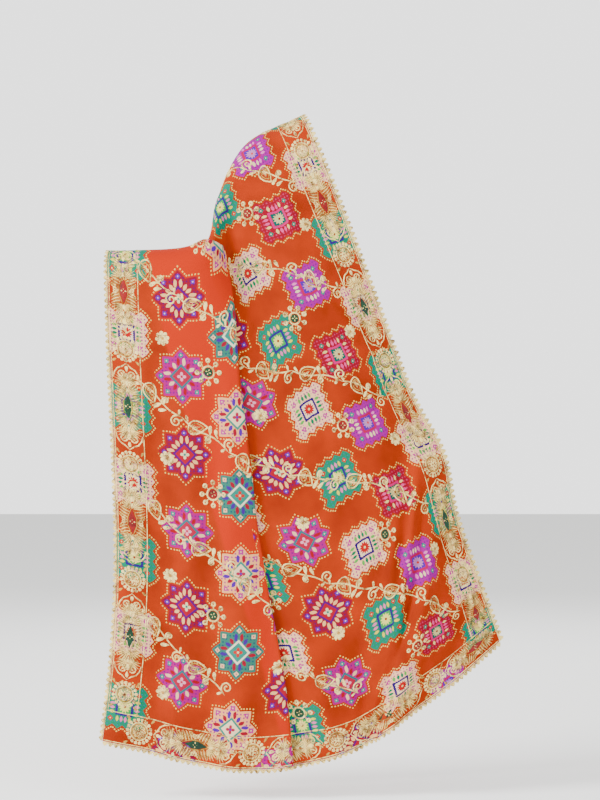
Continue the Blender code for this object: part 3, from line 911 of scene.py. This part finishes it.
def georgette():
    """Printed polyester georgette: crepe yarns in an open weave, dyed and screen printed.

    The twisted yarns make it matte, and the open weave lets some light through.
    """
    made, tree = new_material("printed_georgette")
    inks = colours()
    cut = add_node(tree, "ShaderNodeUVMap", uv_map="cut").outputs[0]
    parts = add_node(tree, "ShaderNodeSeparateXYZ", [cut])
    found = {"u": parts.outputs[0], "v": parts.outputs[1]}
    for name, operation, *values in PRINT_STEPS:
        values = [found[value] if isinstance(value, str) else value for value in values]
        found[name] = add_node(tree, "ShaderNodeMath", values, operation=operation).outputs[0]

    # The dye takes a little unevenly on the crepe, in clouds about 90 mm across
    cloudy = {"Vector": cut, "Scale": per_metre(CLOUD_MM), "Detail": 3.0}
    clouds = add_node(tree, "ShaderNodeTexNoise", cloudy).outputs[0]
    spread = {"Value": clouds, "From Min": 0.3, "From Max": 0.7}
    share = add_node(tree, "ShaderNodeMapRange", spread).outputs[0]
    dyed = {MIX_SHARE: share, MIX_UNDER: inks.ground_deep, MIX_OVER: inks.ground}
    shown = add_node(tree, "ShaderNodeMix", dyed, data_type="RGBA").outputs[MIX_RESULT]
    # Painted light: where three layers lie over each other the orange is painted a little redder, as they
    # let less of the shade behind through
    stacked = add_node(tree, "ShaderNodeAttribute", attribute_name="stacked").outputs["Fac"]
    layers = [(stacked, inks.ground_stacked), (found["dots"], inks.outline)]
    for ink in INKS:
        chosen = add_node(tree, "ShaderNodeValToRGB", [found["colouring"]])
        stops = chosen.color_ramp
        stops.interpolation = "CONSTANT"
        for spot, colour in enumerate(ink.colours.split()):
            stop = stops.elements[0] if spot == 0 else stops.elements.new(spot / COLOURINGS)
            stop.position = spot / COLOURINGS
            stop.color = linear(colour)
        inside = add_node(tree, "ShaderNodeMath", [found[ink.mask], found["body"]], operation="MULTIPLY")
        layers.append((inside.outputs[0], chosen.outputs[0]))
    for mask, colour in layers:
        printed = {MIX_SHARE: mask, MIX_UNDER: shown, MIX_OVER: colour}
        shown = add_node(tree, "ShaderNodeMix", printed, data_type="RGBA").outputs[MIX_RESULT]

    # Georgette's crepe yarns lie 0.4 mm apart, drawn as grains of 1.3 mm so that they show in the render
    grainy = {"Vector": cut, "Scale": per_metre(GRAIN_MM), "Detail": 2.0}
    grain = add_node(tree, "ShaderNodeTexNoise", grainy).outputs[0]
    grains = {"Value": grain, "From Min": 0.3, "From Max": 0.7, "To Min": 0.86, "To Max": 1.08}
    shade = add_node(tree, "ShaderNodeMapRange", grains).outputs[0]
    crepe = {0: shown, "Scale": shade}
    shown = add_node(tree, "ShaderNodeVectorMath", crepe, operation="SCALE").outputs[0]
    raised = {"Strength": 0.35, "Distance": GRAIN_DEPTH, "Height": grain}
    bump = add_node(tree, "ShaderNodeBump", raised).outputs[0]
    surface = {
        "Base Color": shown,
        "Roughness": 0.82,
        "Specular IOR Level": 0.12,
        "Sheen Weight": 0.04,
        "Sheen Roughness": 0.5,
        "Normal": bump,
    }
    shader = add_node(tree, "ShaderNodeBsdfPrincipled", surface)
    through = add_node(tree, "ShaderNodeBsdfTranslucent", {"Color": shown, "Normal": bump})
    both = add_node(tree, "ShaderNodeMixShader", [SHEERNESS, shader.outputs[0], through.outputs[0]])
    add_node(tree, "ShaderNodeOutputMaterial", {"Surface": both.outputs[0]})
    return made


def thread(name, light, deep, roughness):
    """Embroidery thread: twisted filaments in satin stitch, with a soft sheen that breaks at each stitch,
    and painted shade in the hollows between its strands.
    """
    made, tree = new_material(name)
    place = add_node(tree, "ShaderNodeTexCoord").outputs["Object"]
    # Stitches are 0.4 mm thick, drawn as strands of 1.6 mm so that they show in the render
    noises = [{"Vector": place, "Scale": per_metre(size), "Detail": 2.0} for size in (STRAND_MM, PATCH_MM)]
    strands, patches = (add_node(tree, "ShaderNodeTexNoise", size).outputs[0] for size in noises)
    mixed = add_node(tree, "ShaderNodeMath", [strands, patches], operation="ADD").outputs[0]
    # Painted shade: where the noise is low the deep colour darkens the thread, as shade in the hollows
    # between its strands
    hollows = {"Value": mixed, "From Min": 0.76, "From Max": 1.08}
    share = add_node(tree, "ShaderNodeMapRange", hollows).outputs[0]
    stitched = {MIX_SHARE: share, MIX_UNDER: deep, MIX_OVER: light}
    shown = add_node(tree, "ShaderNodeMix", stitched, data_type="RGBA").outputs[MIX_RESULT]
    raised = {"Strength": 0.5, "Distance": STRAND_DEPTH, "Height": strands}
    bump = add_node(tree, "ShaderNodeBump", raised).outputs[0]
    surface = {
        "Base Color": shown,
        "Roughness": roughness,
        "Specular IOR Level": 0.3,
        "Sheen Weight": 0.05,
        "Sheen Roughness": 0.4,
        "Normal": bump,
    }
    shader = add_node(tree, "ShaderNodeBsdfPrincipled", surface)
    add_node(tree, "ShaderNodeOutputMaterial", {"Surface": shader.outputs[0]})
    return made


Threads = namedtuple("Threads", "cream red green gold")


class Stitches:
    """Gathers raised cords and pads in flat places, and makes them one mesh on what they lie on."""

    def __init__(self):
        self.spots = []
        self.faces = []
        self.count = 0

    def add(self, spots, lifts, faces):
        self.spots.append(np.column_stack([spots, lifts]))
        self.faces.extend([corner + self.count for corner in face] for face in faces)
        self.count += len(spots)

    def cord(self, path, width, height=None, closed=False):
        """A cord along a path, pointed at open ends."""
        path = np.asarray(path, float)
        if closed:
            path = path[:-1] if np.allclose(path[0], path[-1]) else path
            along = np.roll(path, -1, axis=0) - np.roll(path, 1, axis=0)
        else:
            along = np.gradient(path, axis=0)
        half = np.full(len(path), width / 2)
        if not closed:
            half[[0, -1]] *= CORD_END
        along = along / np.maximum(np.linalg.norm(along, axis=1, keepdims=True), 1e-9)
        aside = np.column_stack([-along[:, 1], along[:, 0]]) * half[:, None]
        spots = np.stack([path + aside, path, path - aside], axis=1).reshape(-1, 2)
        tall = (height or width * CORD_HEIGHT) * half / half.max()
        lifts = np.stack([np.full(len(path), SUNK), tall, np.full(len(path), SUNK)], axis=1).ravel()
        faces = []
        count = len(path)
        for post in range(count if closed else count - 1):
            left, top, right = 3 * post, 3 * post + 1, 3 * post + 2
            after = 3 * ((post + 1) % count)
            faces.append([left, top, after + 1, after])
            faces.append([top, right, after + 2, after + 1])
            faces.append([right, left, after, after + 2])
        if not closed:
            last = 3 * (count - 1)
            faces.append([0, 2, 1])
            faces.append([last, last + 1, last + 2])
        self.add(spots, lifts, faces)

    def pad(self, outline, height=0.0010):
        """A raised pad inside a closed outline."""
        outline = np.asarray(outline, float)
        count = len(outline)
        spots = np.concatenate([outline, [outline.mean(axis=0)]])
        lifts = np.concatenate([np.full(count, SUNK), [height]])
        faces = [[(post + 1) % count, post, count] for post in range(count)]
        faces.append(list(range(count)))
        self.add(spots, lifts, faces)

    def made(self, name, finish, lie_on):
        """The piece. lie_on gives points and normals for flat places."""
        flat = np.concatenate(self.spots)
        points, normals = lie_on(flat[:, :2])
        return add_mesh(name, points + normals * flat[:, 2:], self.faces, finish)


def placed(path, at, turn=0.0, flip=1):
    """A path mirrored, turned and moved."""
    path = np.asarray(path, float) * [1, flip]
    cos, sin = math.cos(turn), math.sin(turn)
    return path @ np.array([[cos, sin], [-sin, cos]]) + at


def round_about(count):
    """The angles of so many motifs round a middle."""
    return [TURN * motif / count for motif in range(count)]


def away(angle):
    return np.array([math.cos(angle), math.sin(angle)])


def ring(radius, posts):
    angles = np.linspace(0, TURN, posts, endpoint=False)
    return np.column_stack([np.cos(angles), np.sin(angles)]) * radius


def teardrop(length, width, posts=8, bend=0.0):
    """A closed drop from its point at 0, 0 to its round end."""
    angles = np.linspace(0, TURN, posts, endpoint=False)
    along = length * (1 - np.cos(angles)) / 2
    aside = width * 0.65 * np.sin(angles) * np.sin(angles / 2)
    return np.column_stack([along, aside + bend * (1 - along / length) ** 2])


def curl(radius, turns, posts):
    """A spiral that leaves 0, 0 along x and winds in to its middle."""
    angles = np.linspace(0, turns * TURN, posts)
    reach = radius * (1 - 0.82 * angles / angles[-1])
    return np.column_stack([np.sin(angles) * reach, radius - np.cos(angles) * reach])


def work_paisley(cream, gold, fill, at, turn, flip):
    """A bent drop with a double outline and a few crossed stitches inside."""
    size = PAISLEY_SIZE
    outer = teardrop(size, size * 0.72, posts=20, bend=size * 0.22)
    middle = np.array([[size * 0.6, 0]])
    cream.cord(placed(outer, at, turn, flip), width=0.0034, closed=True)
    inner = (outer - middle) * 0.66 + middle
    gold.cord(placed(inner, at, turn, flip), width=0.0026, closed=True)
    for start, end in ((0.40, 0.74), (0.50, 0.84), (0.74, 0.40), (0.84, 0.50)):
        bar = np.array([[start, -0.15], [(start + end) / 2, 0], [end, 0.15]]) * size
        cream.cord(placed(bar, at, turn, flip), width=0.0020)
    seed = teardrop(size * 0.16, size * 0.10) + middle - [size * 0.08, 0]
    fill.pad(placed(seed, at, turn, flip), height=0.0012)


def work_rosette(cream, fill, at):
    """A round flower: a coloured disc with a cream cross, a ring, and round petals with a small hole."""
    size = ROSETTE_SIZE
    fill.pad(placed(ring(size * 0.34, posts=16), at), height=0.0011)
    cream.cord(placed(ring(size * 0.42, posts=24), at), width=size * 0.13, closed=True)
    for turn in round_about(ROSETTE_PETALS):
        spot = np.array(at) + away(turn) * size * 0.80
        cream.cord(placed(ring(size * 0.115, posts=10), spot), width=size * 0.15, closed=True)
        stalk = [[size * 0.47, 0], [size * 0.56, 0], [size * 0.64, 0]]
        cream.cord(placed(stalk, at, turn), width=size * 0.09)
    for turn in round_about(4):
        arm = teardrop(size * 0.24, size * 0.10)
        cream.pad(placed(arm, at, turn + 0.4), height=0.0018)


def work_star_flower(cream, fill, at, lean):
    """A small flower of pointed petals with a gold heart."""
    size = STAR_FLOWER_SIZE
    for turn in round_about(STAR_FLOWER_PETALS):
        petal = teardrop(size * 0.95, size * 0.62) + [size * 0.12, 0]
        cream.pad(placed(petal, at, lean + turn), height=0.0014)
    fill.pad(placed(ring(size * 0.2, posts=8), at), height=0.0019)


def work_sprig(cream, gold, fill, at, turn, flip):
    """One step of a vine: a stem, two curls, bent leaves and a paisley."""
    steps = np.linspace(0, VINE_STEP, STEM_POSTS)
    sway = STEM_SWAY * np.sin(TURN * steps / VINE_STEP)

    def lay(path):
        return placed(path, at, turn, flip)

    cream.cord(lay(np.column_stack([steps, sway])), width=0.0032)
    cream.cord(lay(placed(curl(0.0122, turns=1.45, posts=22), (0.010, 0.003), 0.25)), width=0.0036)
    cream.cord(lay(placed(curl(0.0086, turns=1.1, posts=14), (0.050, 0.001), -0.4, -1)), width=0.0032)
    for leaf in VINE_LEAVES:
        shape = teardrop(leaf.length, leaf.length * 0.42, posts=10, bend=leaf.length * 0.12)
        cream.pad(lay(placed(shape, (leaf.along, leaf.aside), leaf.lean)), height=0.0013)
    spot = placed([PAISLEY_SPOT], at, turn, flip)[0]
    work_paisley(cream, gold, fill, spot, turn + flip * PAISLEY_LEAN, flip)


class ClothSizes(bpy.types.PropertyGroup):
    """The cloth as it was cut"""

    length: bpy.props.FloatProperty(
        name="Length", description="Length of the cut cloth", default=2.10, unit="LENGTH"
    )
    wall: bpy.props.FloatProperty(
        name="Wall", description="Thickness of the shown cloth", default=0.0007, unit="LENGTH"
    )
    tooth_pitch: bpy.props.FloatProperty(
        name="Tooth pitch", description="Distance between the lace's teeth", default=0.0125, unit="LENGTH"
    )
    tooth_depth: bpy.props.FloatProperty(
        name="Tooth depth", description="How far the lace's teeth stand out", default=0.0080, unit="LENGTH"
    )


class ClothColours(bpy.types.PropertyGroup):
    """The dyed ground and the threads"""

    ground: bpy.props.FloatVectorProperty(
        name="Ground", description="The dyed cloth", default=linear("#C63A04"), size=4, subtype="COLOR"
    )
    ground_deep: bpy.props.FloatVectorProperty(
        name="Deep ground",
        description="The dyed cloth where it took more dye",
        default=linear("#A02C03"),
        size=4,
        subtype="COLOR",
    )
    # Painted light: the orange is painted redder where three layers lie over each other, as they let less
    # light from behind through
    ground_stacked: bpy.props.FloatVectorProperty(
        name="Layered ground, painted light",
        description="Painted light: the cloth's orange where three layers let less light from behind through",
        default=linear("#CE2E02"),
        size=4,
        subtype="COLOR",
    )
    outline: bpy.props.FloatVectorProperty(
        name="Outline",
        description="The dots round each medallion",
        default=linear("#F8CC60"),
        size=4,
        subtype="COLOR",
    )
    thread: bpy.props.FloatVectorProperty(
        name="Thread",
        description="The cream embroidery",
        default=linear("#FFE48C"),
        size=4,
        subtype="COLOR",
    )
    # Painted shade: the cream thread's darker colour in the hollows between its strands
    thread_deep: bpy.props.FloatVectorProperty(
        name="Thread in painted shade",
        description="Painted shade: the cream embroidery darker in the hollows between its strands",
        default=linear("#6E4410"),
        size=4,
        subtype="COLOR",
    )


class DUPATTA_OT_cloth(bpy.types.Operator):
    """Drapes the cloth in its seven stretches"""

    bl_idname = "dupatta.cloth"
    bl_label = "Drape the cloth"

    def execute(self, context):
        # The sizes may have changed since the last time
        cloth.cache_clear()
        even_cloth.cache_clear()
        sheet = cloth()
        finish = georgette()
        last_row, last_column = len(sheet.levels) - 1, sheet.u.shape[1] - 1
        fold = BACK_COLUMNS + NOSE_POSTS // 2
        crest, top, middle, front_top = (
            int(np.argmin(np.abs(sheet.levels - level))) for level in (0, BACK_TOP, BACK_MIDDLE, FRONT_TOP)
        )
        for node, first, last, left, right in (
            ("front_fall", 0, front_top, 0, fold),
            ("front_top", front_top, crest, 0, fold),
            ("front_arm_fall", 0, crest, fold, last_column),
            ("back_top", crest, top, 0, fold),
            ("back_middle", top, middle, 0, fold),
            ("back_fall", middle, last_row, 0, fold),
            ("arm_fall", crest, last_row, fold, last_column),
        ):
            part = slice(first, last + 1), slice(left, right + 1)
            vertices, faces = shell(sheet.points[part], sheet.normals[part], sizes().wall)
            flat = np.column_stack([sheet.u[part].ravel(), sheet.v[part].ravel()])
            stacked = np.tile(sheet.stacked[part].ravel(), 2)
            made = add_mesh(f"{node}_cloth", vertices, faces, finish, np.tile(flat, (2, 1)), stacked)
            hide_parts(node)
        return {"FINISHED"}


def edge_frame(points, inner, normals):
    """A function from places along and outside an edge to points and normals, and the edge's length."""
    outward = np.cross(unit(np.gradient(points, axis=0)), normals)
    outward = unit(outward * np.sign(np.sum(outward * (points - inner), axis=1, keepdims=True)))
    runs = np.concatenate([[0], np.cumsum(np.linalg.norm(np.diff(points, axis=0), axis=1))])

    def lie_on(flat):
        spot, out, up = (
            np.stack([np.interp(flat[:, 0], runs, rows[:, axis]) for axis in range(3)], axis=1)
            for rows in (points, outward, normals)
        )
        return spot + unit(out) * flat[:, 1:2], unit(up)

    return lie_on, runs[-1]


class DUPATTA_OT_lace(bpy.types.Operator):
    """Sews the zigzag lace round the four edges"""

    bl_idname = "dupatta.lace"
    bl_label = "Sew on the lace"

    def execute(self, context):
        sheet = cloth()
        inks = colours()
        # Crocheted cotton lace, whose spun thread is duller than the rayon of the embroidery
        finish = thread("cream_cotton_lace", inks.thread, inks.thread_deep, LACE_ROUGHNESS)
        points, normals = sheet.points, sheet.normals
        for side, edge, inner, up, share in (
            ("neck_side", points[:, 0], points[:, 1], normals[:, 0], 1.0),
            ("wrist_side", points[:, -1], points[:, -2], normals[:, -1], SHORT_SHARE),
            ("back_end", points[-1], points[-2], normals[-1], SHORT_SHARE),
            ("front_end", points[0], points[1], normals[0], SHORT_SHARE),
        ):
            lie_on, length = edge_frame(edge, inner, up)
            teeth = round(length / sizes().tooth_pitch)
            pitch = length / teeth
            base, depth = SEAM_GAP + TAPE_WIDTH, sizes().tooth_depth * share
            lace = Stitches()
            steps = np.linspace(0, length, 2 * teeth + 1)
            for out in (SEAM_GAP + TAPE_CORD / 2, base - TAPE_INSET):
                lace.cord(np.column_stack([steps, np.full(len(steps), out)]), TAPE_CORD, TAPE_HEIGHT)
            for tooth in range(teeth):
                start, tip = tooth * pitch, (tooth + 0.5) * pitch
                end = start + pitch
                shape = [
                    (start, base - TOOTH_OVERLAP),
                    (start + pitch * TOOTH_SHOULDER_IN, base + depth * TOOTH_SHOULDER_OUT),
                    (tip - TOOTH_TIP_HALF, base + depth),
                    (tip + TOOTH_TIP_HALF, base + depth),
                    (end - pitch * TOOTH_SHOULDER_IN, base + depth * TOOTH_SHOULDER_OUT),
                    (end, base - TOOTH_OVERLAP),
                ]
                lace.pad(shape, height=0.0010)
                lace.cord(shape, width=0.0018, height=0.0011)
                lace.pad(placed(ring(0.0013, posts=6), (tip, base + depth * 0.42)), height=0.0019)
            made = lace.made(f"lace_{side}", finish, lie_on)
            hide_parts(f"edging_{side}")
        return {"FINISHED"}


class DUPATTA_OT_bands(bpy.types.Operator):
    """Embroiders the bands along the four edges"""

    bl_idname = "dupatta.bands"
    bl_label = "Embroider the bands"

    def execute(self, context):
        finishes = thread_finishes()
        length = sizes().length
        far_corner = length - BAND_WIDTH
        for name, start, end, flip, first in (
            ("neck_side", (0.0, BAND_WIDTH), (0.0, far_corner), 1, NECK_FIRST - BAND_WIDTH),
            ("wrist_side", (1.0, BAND_WIDTH), (1.0, far_corner), -1, WRIST_FIRST - BAND_WIDTH - BAND_STEP),
            ("back_end", (0.0, 0.0), (1.0, 0.0), -1, END_FIRST - BAND_STEP),
            ("front_end", (0.0, length), (1.0, length), 1, END_FIRST - BAND_STEP),
        ):
            start, end = np.array(start), np.array(end)
            reach = float(np.linalg.norm(end - start))
            turn = math.atan2(*(end - start)[::-1])
            threads = Threads(*[Stitches() for _ in finishes])
            work_band(threads, lambda path: placed(path, start, turn, -flip), reach, first)
            add_stitches(f"band_{name}", threads, finishes)
        return {"FINISHED"}


def add_stitches(name, threads, finishes):
    """One piece for each thread that was used."""
    for kind, stitches, finish in zip(("ivory", "red", "green", "gold"), threads, finishes):
        if stitches.count:
            stitches.made(f"{name}_{kind}", finish, on_face)


def on_face(flat):
    """Where embroidery lies: on the cloth's outer face."""
    points, normals = on_cloth(flat)
    return points + normals * sizes().wall / 2, normals


def fill_of(threads, number):
    """Red and green fillings by turns."""
    return threads.green if number % 2 else threads.red


def work_band(threads, lay, reach, first):
    """Two lines, and between them lozenges and round flowers by turns."""
    posts = int(reach / LINE_POST_STEP)
    steps = np.linspace(0, reach, posts)
    for out in (BAND_LINE, BAND_WIDTH):
        threads.cream.cord(lay(np.column_stack([steps, np.full(posts, out)])), width=0.0022)
    count = int(reach / BAND_STEP) + 2
    for index in range(-1, count):
        spot = first + index * BAND_STEP
        if LOZENGE_MARGIN < spot < reach - LOZENGE_MARGIN:
            work_lozenge(threads, lay, spot, fill_of(threads, index), reach)
        spot += BAND_STEP / 2
        if DISC_MARGIN < spot < reach - DISC_MARGIN:
            work_disc(threads, lay, spot)


def work_lozenge(threads, lay, spot, fill, reach):
    """A lozenge with a cross in it and strokes beside it, and fans, spirals and leaves at its ends."""
    cream, gold = threads.cream, threads.gold

    def part(path, side=1, flip=1):
        return lay(np.asarray(path, float) * [side, flip] + [spot, BAND_MIDDLE])

    def fits(side, distance):
        return 0 < spot + side * distance < reach

    fill.pad(part(LOZENGE), height=0.0020)
    gold.cord(part(np.array(LOZENGE) * OUTLINE_SHARE), width=0.0026, closed=True)
    for turn in round_about(4):
        arm = teardrop(0.0072, 0.0046)
        cream.pad(part(placed(arm, (0, 0), turn)), height=0.0024)
    for side in (-1, 1):
        for flip in (-1, 1):
            work_strokes(cream, gold, lambda path: part(path, side, flip))
            for fan in FANS:
                if fits(side, fan.root + fan.reach):
                    work_fan(cream, gold, lambda path: part(path, side, flip), fan)
            for spiral in SPIRALS:
                if fits(side, spiral.away + SPIRAL_ROOM):
                    path = placed(curl(spiral.radius, turns=1.3, posts=16), (spiral.away, 0.003), 0.3)
                    cream.cord(part(path, side, flip), width=0.0030)
            path = placed(curl(0.0058, turns=1.2, posts=12), (-0.003, 0.0125), 0.2)
            cream.cord(part(path, side, flip), width=0.0026)
            path = placed(curl(0.0042, turns=1.1, posts=10), (0.010, 0.0205), -0.3)
            gold.cord(part(path, side, flip), width=0.0028)
            if fits(side, CUSP[-1][0]):
                cream.cord(part(CUSP, side, flip), width=0.0032)
        for leaf in BAND_LEAVES:
            if fits(side, leaf.away + leaf.length):
                shape = teardrop(leaf.length, leaf.length * 0.55, posts=10) + [leaf.away, 0]
                cream.pad(part(shape, side), height=0.0016)


def work_strokes(cream, gold, part):
    """Four bent strokes from a lozenge's side to the band's line, each with a gold one beside it."""
    for stroke in range(4):
        start, inner = 0.001 + 0.0062 * stroke, 0.0108 - 0.0018 * stroke
        path = np.array([(start, inner), (start + 0.0035, inner * 0.5 + 0.0138), (start + 0.0095, 0.0278)])
        cream.cord(part(path), width=0.0027)
        gold.cord(part(path * [1, 0.93] + [0.0031, 0.0005]), width=0.0020)


def work_fan(cream, gold, part, fan):
    """Strokes that spread from a fan's root, each with a gold one beside it."""
    for stroke in range(FAN_STROKES):
        turn = FAN_FIRST + FAN_STEP * stroke
        long = min(fan.reach, FAN_TOP / math.sin(turn))
        path = [(0.005, 0), (long * 0.6, -0.0009), (long, 0.0004)]
        cream.cord(part(placed(path, (fan.root, 0), turn)), width=0.0025)
        path = [(0.008, 0), (long * 0.6, -0.0008), (long * 0.86, 0)]
        gold.cord(part(placed(path, (fan.root, 0), turn + FAN_GOLD_LEAN)), width=0.0019)


def work_disc(threads, lay, spot):
    """A round flower as wide as the band: petals round a ring of curls, with a leaf at each corner."""
    cream, gold = threads.cream, threads.gold
    at = np.array([spot, BAND_MIDDLE])
    for turn in round_about(DISC_PETALS):
        petal = placed(teardrop(0.0092, 0.0082), at + away(turn) * DISC_PETALS_OUT, turn)
        cream.pad(lay(petal), height=0.0015)
    cream.cord(lay(ring(DISC_RING, posts=30) + at), width=0.0030, closed=True)
    gold.cord(lay(ring(DISC_GOLD_RING, posts=26) + at), width=0.0026, closed=True)
    for turn in round_about(DISC_CURLS):
        spiral = placed(curl(0.0038, turns=1.1, posts=10), at + away(turn) * DISC_CURLS_OUT, turn)
        cream.cord(lay(spiral), width=0.0025)
    for turn in round_about(DISC_LEAVES):
        cream.pad(lay(placed(teardrop(0.0085, 0.0054), at, turn)), height=0.0017)
    threads.red.pad(lay(ring(DISC_HEART, posts=6) + at), height=0.0022)
    for side in (-1, 1):
        for flip in (-1, 1):
            corner = at + np.array([side, flip]) * DISC_CORNER
            leaf = teardrop(0.0120, 0.0060, posts=10, bend=0.002)
            gold.pad(lay(placed(leaf, corner, math.atan2(flip, side), flip)), height=0.0014)


def thread_finishes():
    """The four threads' materials, made once. The threads are rayon, dyed cream, red, green and old gold,
    each with a deep colour painted as shade in its hollows.
    """
    inks = colours()
    # The second colour of each thread is painted shade for the hollows between its strands
    for name, light, deep in (
        ("cream_rayon_thread", inks.thread, inks.thread_deep),
        ("red_rayon_thread", linear("#8E0608"), linear("#520304")),
        ("green_rayon_thread", linear("#063E24"), linear("#032012")),
        ("gold_rayon_thread", linear("#C4963C"), linear("#5A3A0C")),
    ):
        if name not in bpy.data.materials:
            thread(name, light, deep, RAYON_ROUGHNESS)
    return [bpy.data.materials[f"{kind}_rayon_thread"] for kind in Threads._fields]


class DUPATTA_OT_vines(bpy.types.Operator):
    """Embroiders the vines and flowers of the field"""

    bl_idname = "dupatta.vines"
    bl_label = "Embroider the vines"

    def execute(self, context):
        finishes = thread_finishes()
        behind, before = (Threads(*[Stitches() for _ in finishes]) for _ in range(2))
        rise = math.atan(VINE_SLOPE)
        least = BAND_WIDTH + VINE_MARGIN
        for vine in VINES:
            for step in range(VINE_STEPS):
                u = FIELD_START + step * VINE_STEP * math.cos(rise)
                v = VINE_FIRST + vine * VINE_PITCH + VINE_SLOPE * (u - FIELD_START)
                end_v = v + VINE_STEP * math.sin(rise)
                if min(v, end_v) < least or max(v, end_v) > sizes().length - least:
                    continue
                threads = behind if v < CREST_V else before
                fill = fill_of(threads, vine + step)
                work_sprig(threads.cream, threads.gold, fill, (u, v), rise, 1 if step % 2 else -1)
        for number, column in enumerate(ROSETTES):
            for row, v in flower_rows(column, ROSETTE_MARGIN):
                threads = behind if v < CREST_V else before
                work_rosette(threads.cream, fill_of(threads, row + number), (column.u, v))
        for column in STAR_FLOWERS:
            for row, v in flower_rows(column, STAR_FLOWER_MARGIN):
                threads = behind if v < CREST_V else before
                work_star_flower(threads.cream, threads.gold, (column.u, v), lean=row)
        add_stitches("vines_behind", behind, finishes)
        add_stitches("vines_before", before, finishes)
        return {"FINISHED"}


def flower_rows(column, margin):
    """The number and the v of each flower in a column that stays clear of the bands at both ends."""
    start = FLOWER_FIRST + column.late
    rise = VINE_SLOPE * (column.u - ROSETTES[-1].u) % VINE_PITCH
    for row in range(FLOWER_ROWS):
        v = start + VINE_PITCH * row + rise
        if BAND_WIDTH + margin < v < sizes().length - BAND_WIDTH - margin:
            yield row, v


class DUPATTA_OT_stage(bpy.types.Operator):
    """Lays the floor, hangs the lights and places the camera"""

    bl_idname = "dupatta.stage"
    bl_label = "Set the stage"

    def execute(self, context):
        scene = context.scene
        mesh = bpy.data.meshes.new("floor")
        sides = ((-1, -1), (1, -1), (1, 1), (-1, 1))
        corners = [(x * FLOOR_HALF, y * FLOOR_HALF, FLOOR_LEVEL) for x, y in sides]
        mesh.from_pydata(corners, [], [(0, 1, 2, 3)])
        mesh.materials.append(painted_board())
        floor = bpy.data.objects.new("floor", mesh)
        scene.collection.objects.link(floor)
        lens = bpy.data.cameras.new("camera")
        lens.sensor_fit = "VERTICAL"
        lens.angle = 2 * math.atan(VIEW_HALF_HEIGHT / (CLOTH_Y - CAMERA_PLACE[1]))
        camera = bpy.data.objects.new("camera", lens)
        camera.location = CAMERA_PLACE
        camera.rotation_euler = (math.pi / 2, 0, 0)
        scene.collection.objects.link(camera)
        scene.camera = camera
        for lamp in LAMPS:
            light = bpy.data.lights.new(lamp.name, "AREA")
            light.energy = lamp.watts
            light.size = lamp.size
            hung = bpy.data.objects.new(lamp.name, light)
            hung.location = lamp.place
            aim = Vector(LAMP_AIM) - Vector(lamp.place)
            hung.rotation_euler = aim.to_track_quat("-Z", "Y").to_euler()
            scene.collection.objects.link(hung)
        scene.world = studio()
        return {"FINISHED"}


def painted_board():
    """Board rolled with matt white paint. It has no gloss, so the cloth throws only a soft shade on it.

    The little light of its own stands in for the lit paper sweep of a studio.
    """
    made, tree = new_material("matt_painted_board")
    white = linear("#FAFAF8")
    surface = {"Base Color": white, "Roughness": 0.9, "Emission Color": white, "Emission Strength": 0.52}
    shader = add_node(tree, "ShaderNodeBsdfPrincipled", surface)
    add_node(tree, "ShaderNodeOutputMaterial", {"Surface": shader.outputs[0]})
    return made


def studio():
    """A pale world, which looks whiter than the soft light that it gives."""
    world = bpy.data.worlds.new("studio")
    world.use_nodes = True
    sky = world.node_tree
    sky.nodes.clear()
    white = linear("#F4F4F4")
    seen = add_node(sky, "ShaderNodeLightPath").outputs["Is Camera Ray"]
    light = add_node(sky, "ShaderNodeBackground", [white, SKY_LIGHT])
    pale = add_node(sky, "ShaderNodeBackground", [white, SKY_SEEN])
    both = add_node(sky, "ShaderNodeMixShader", [seen, light.outputs[0], pale.outputs[0]])
    add_node(sky, "ShaderNodeOutputWorld", [both.outputs[0]])
    return world


class DUPATTA_PT_panel(bpy.types.Panel):
    """Lists the steps in the order that they are made"""

    bl_label = "Dupatta"
    bl_idname = "DUPATTA_PT_panel"
    bl_space_type = "VIEW_3D"
    bl_region_type = "UI"
    bl_category = "Dupatta"

    def draw(self, context):
        layout = self.layout
        for group in (context.scene.dupatta_cloth, context.scene.dupatta_colours):
            for name in group.__annotations__:
                layout.prop(group, name)
        for operator in OPERATORS:
            layout.operator(operator.bl_idname)


OPERATORS = (
    DUPATTA_OT_cloth,
    DUPATTA_OT_lace,
    DUPATTA_OT_bands,
    DUPATTA_OT_vines,
    DUPATTA_OT_stage,
)
CLASSES = (ClothSizes, ClothColours, *OPERATORS, DUPATTA_PT_panel)


def register():
    for made in CLASSES:
        bpy.utils.register_class(made)
    bpy.types.Scene.dupatta_cloth = bpy.props.PointerProperty(type=ClothSizes)
    bpy.types.Scene.dupatta_colours = bpy.props.PointerProperty(type=ClothColours)


def unregister():
    del bpy.types.Scene.dupatta_colours
    del bpy.types.Scene.dupatta_cloth
    for made in reversed(CLASSES):
        bpy.utils.unregister_class(made)


def main():
    register()
    bpy.ops.dupatta.cloth()
    bpy.ops.dupatta.lace()
    bpy.ops.dupatta.bands()
    bpy.ops.dupatta.vines()
    bpy.ops.dupatta.stage()


if __name__ == "__main__":
    main()
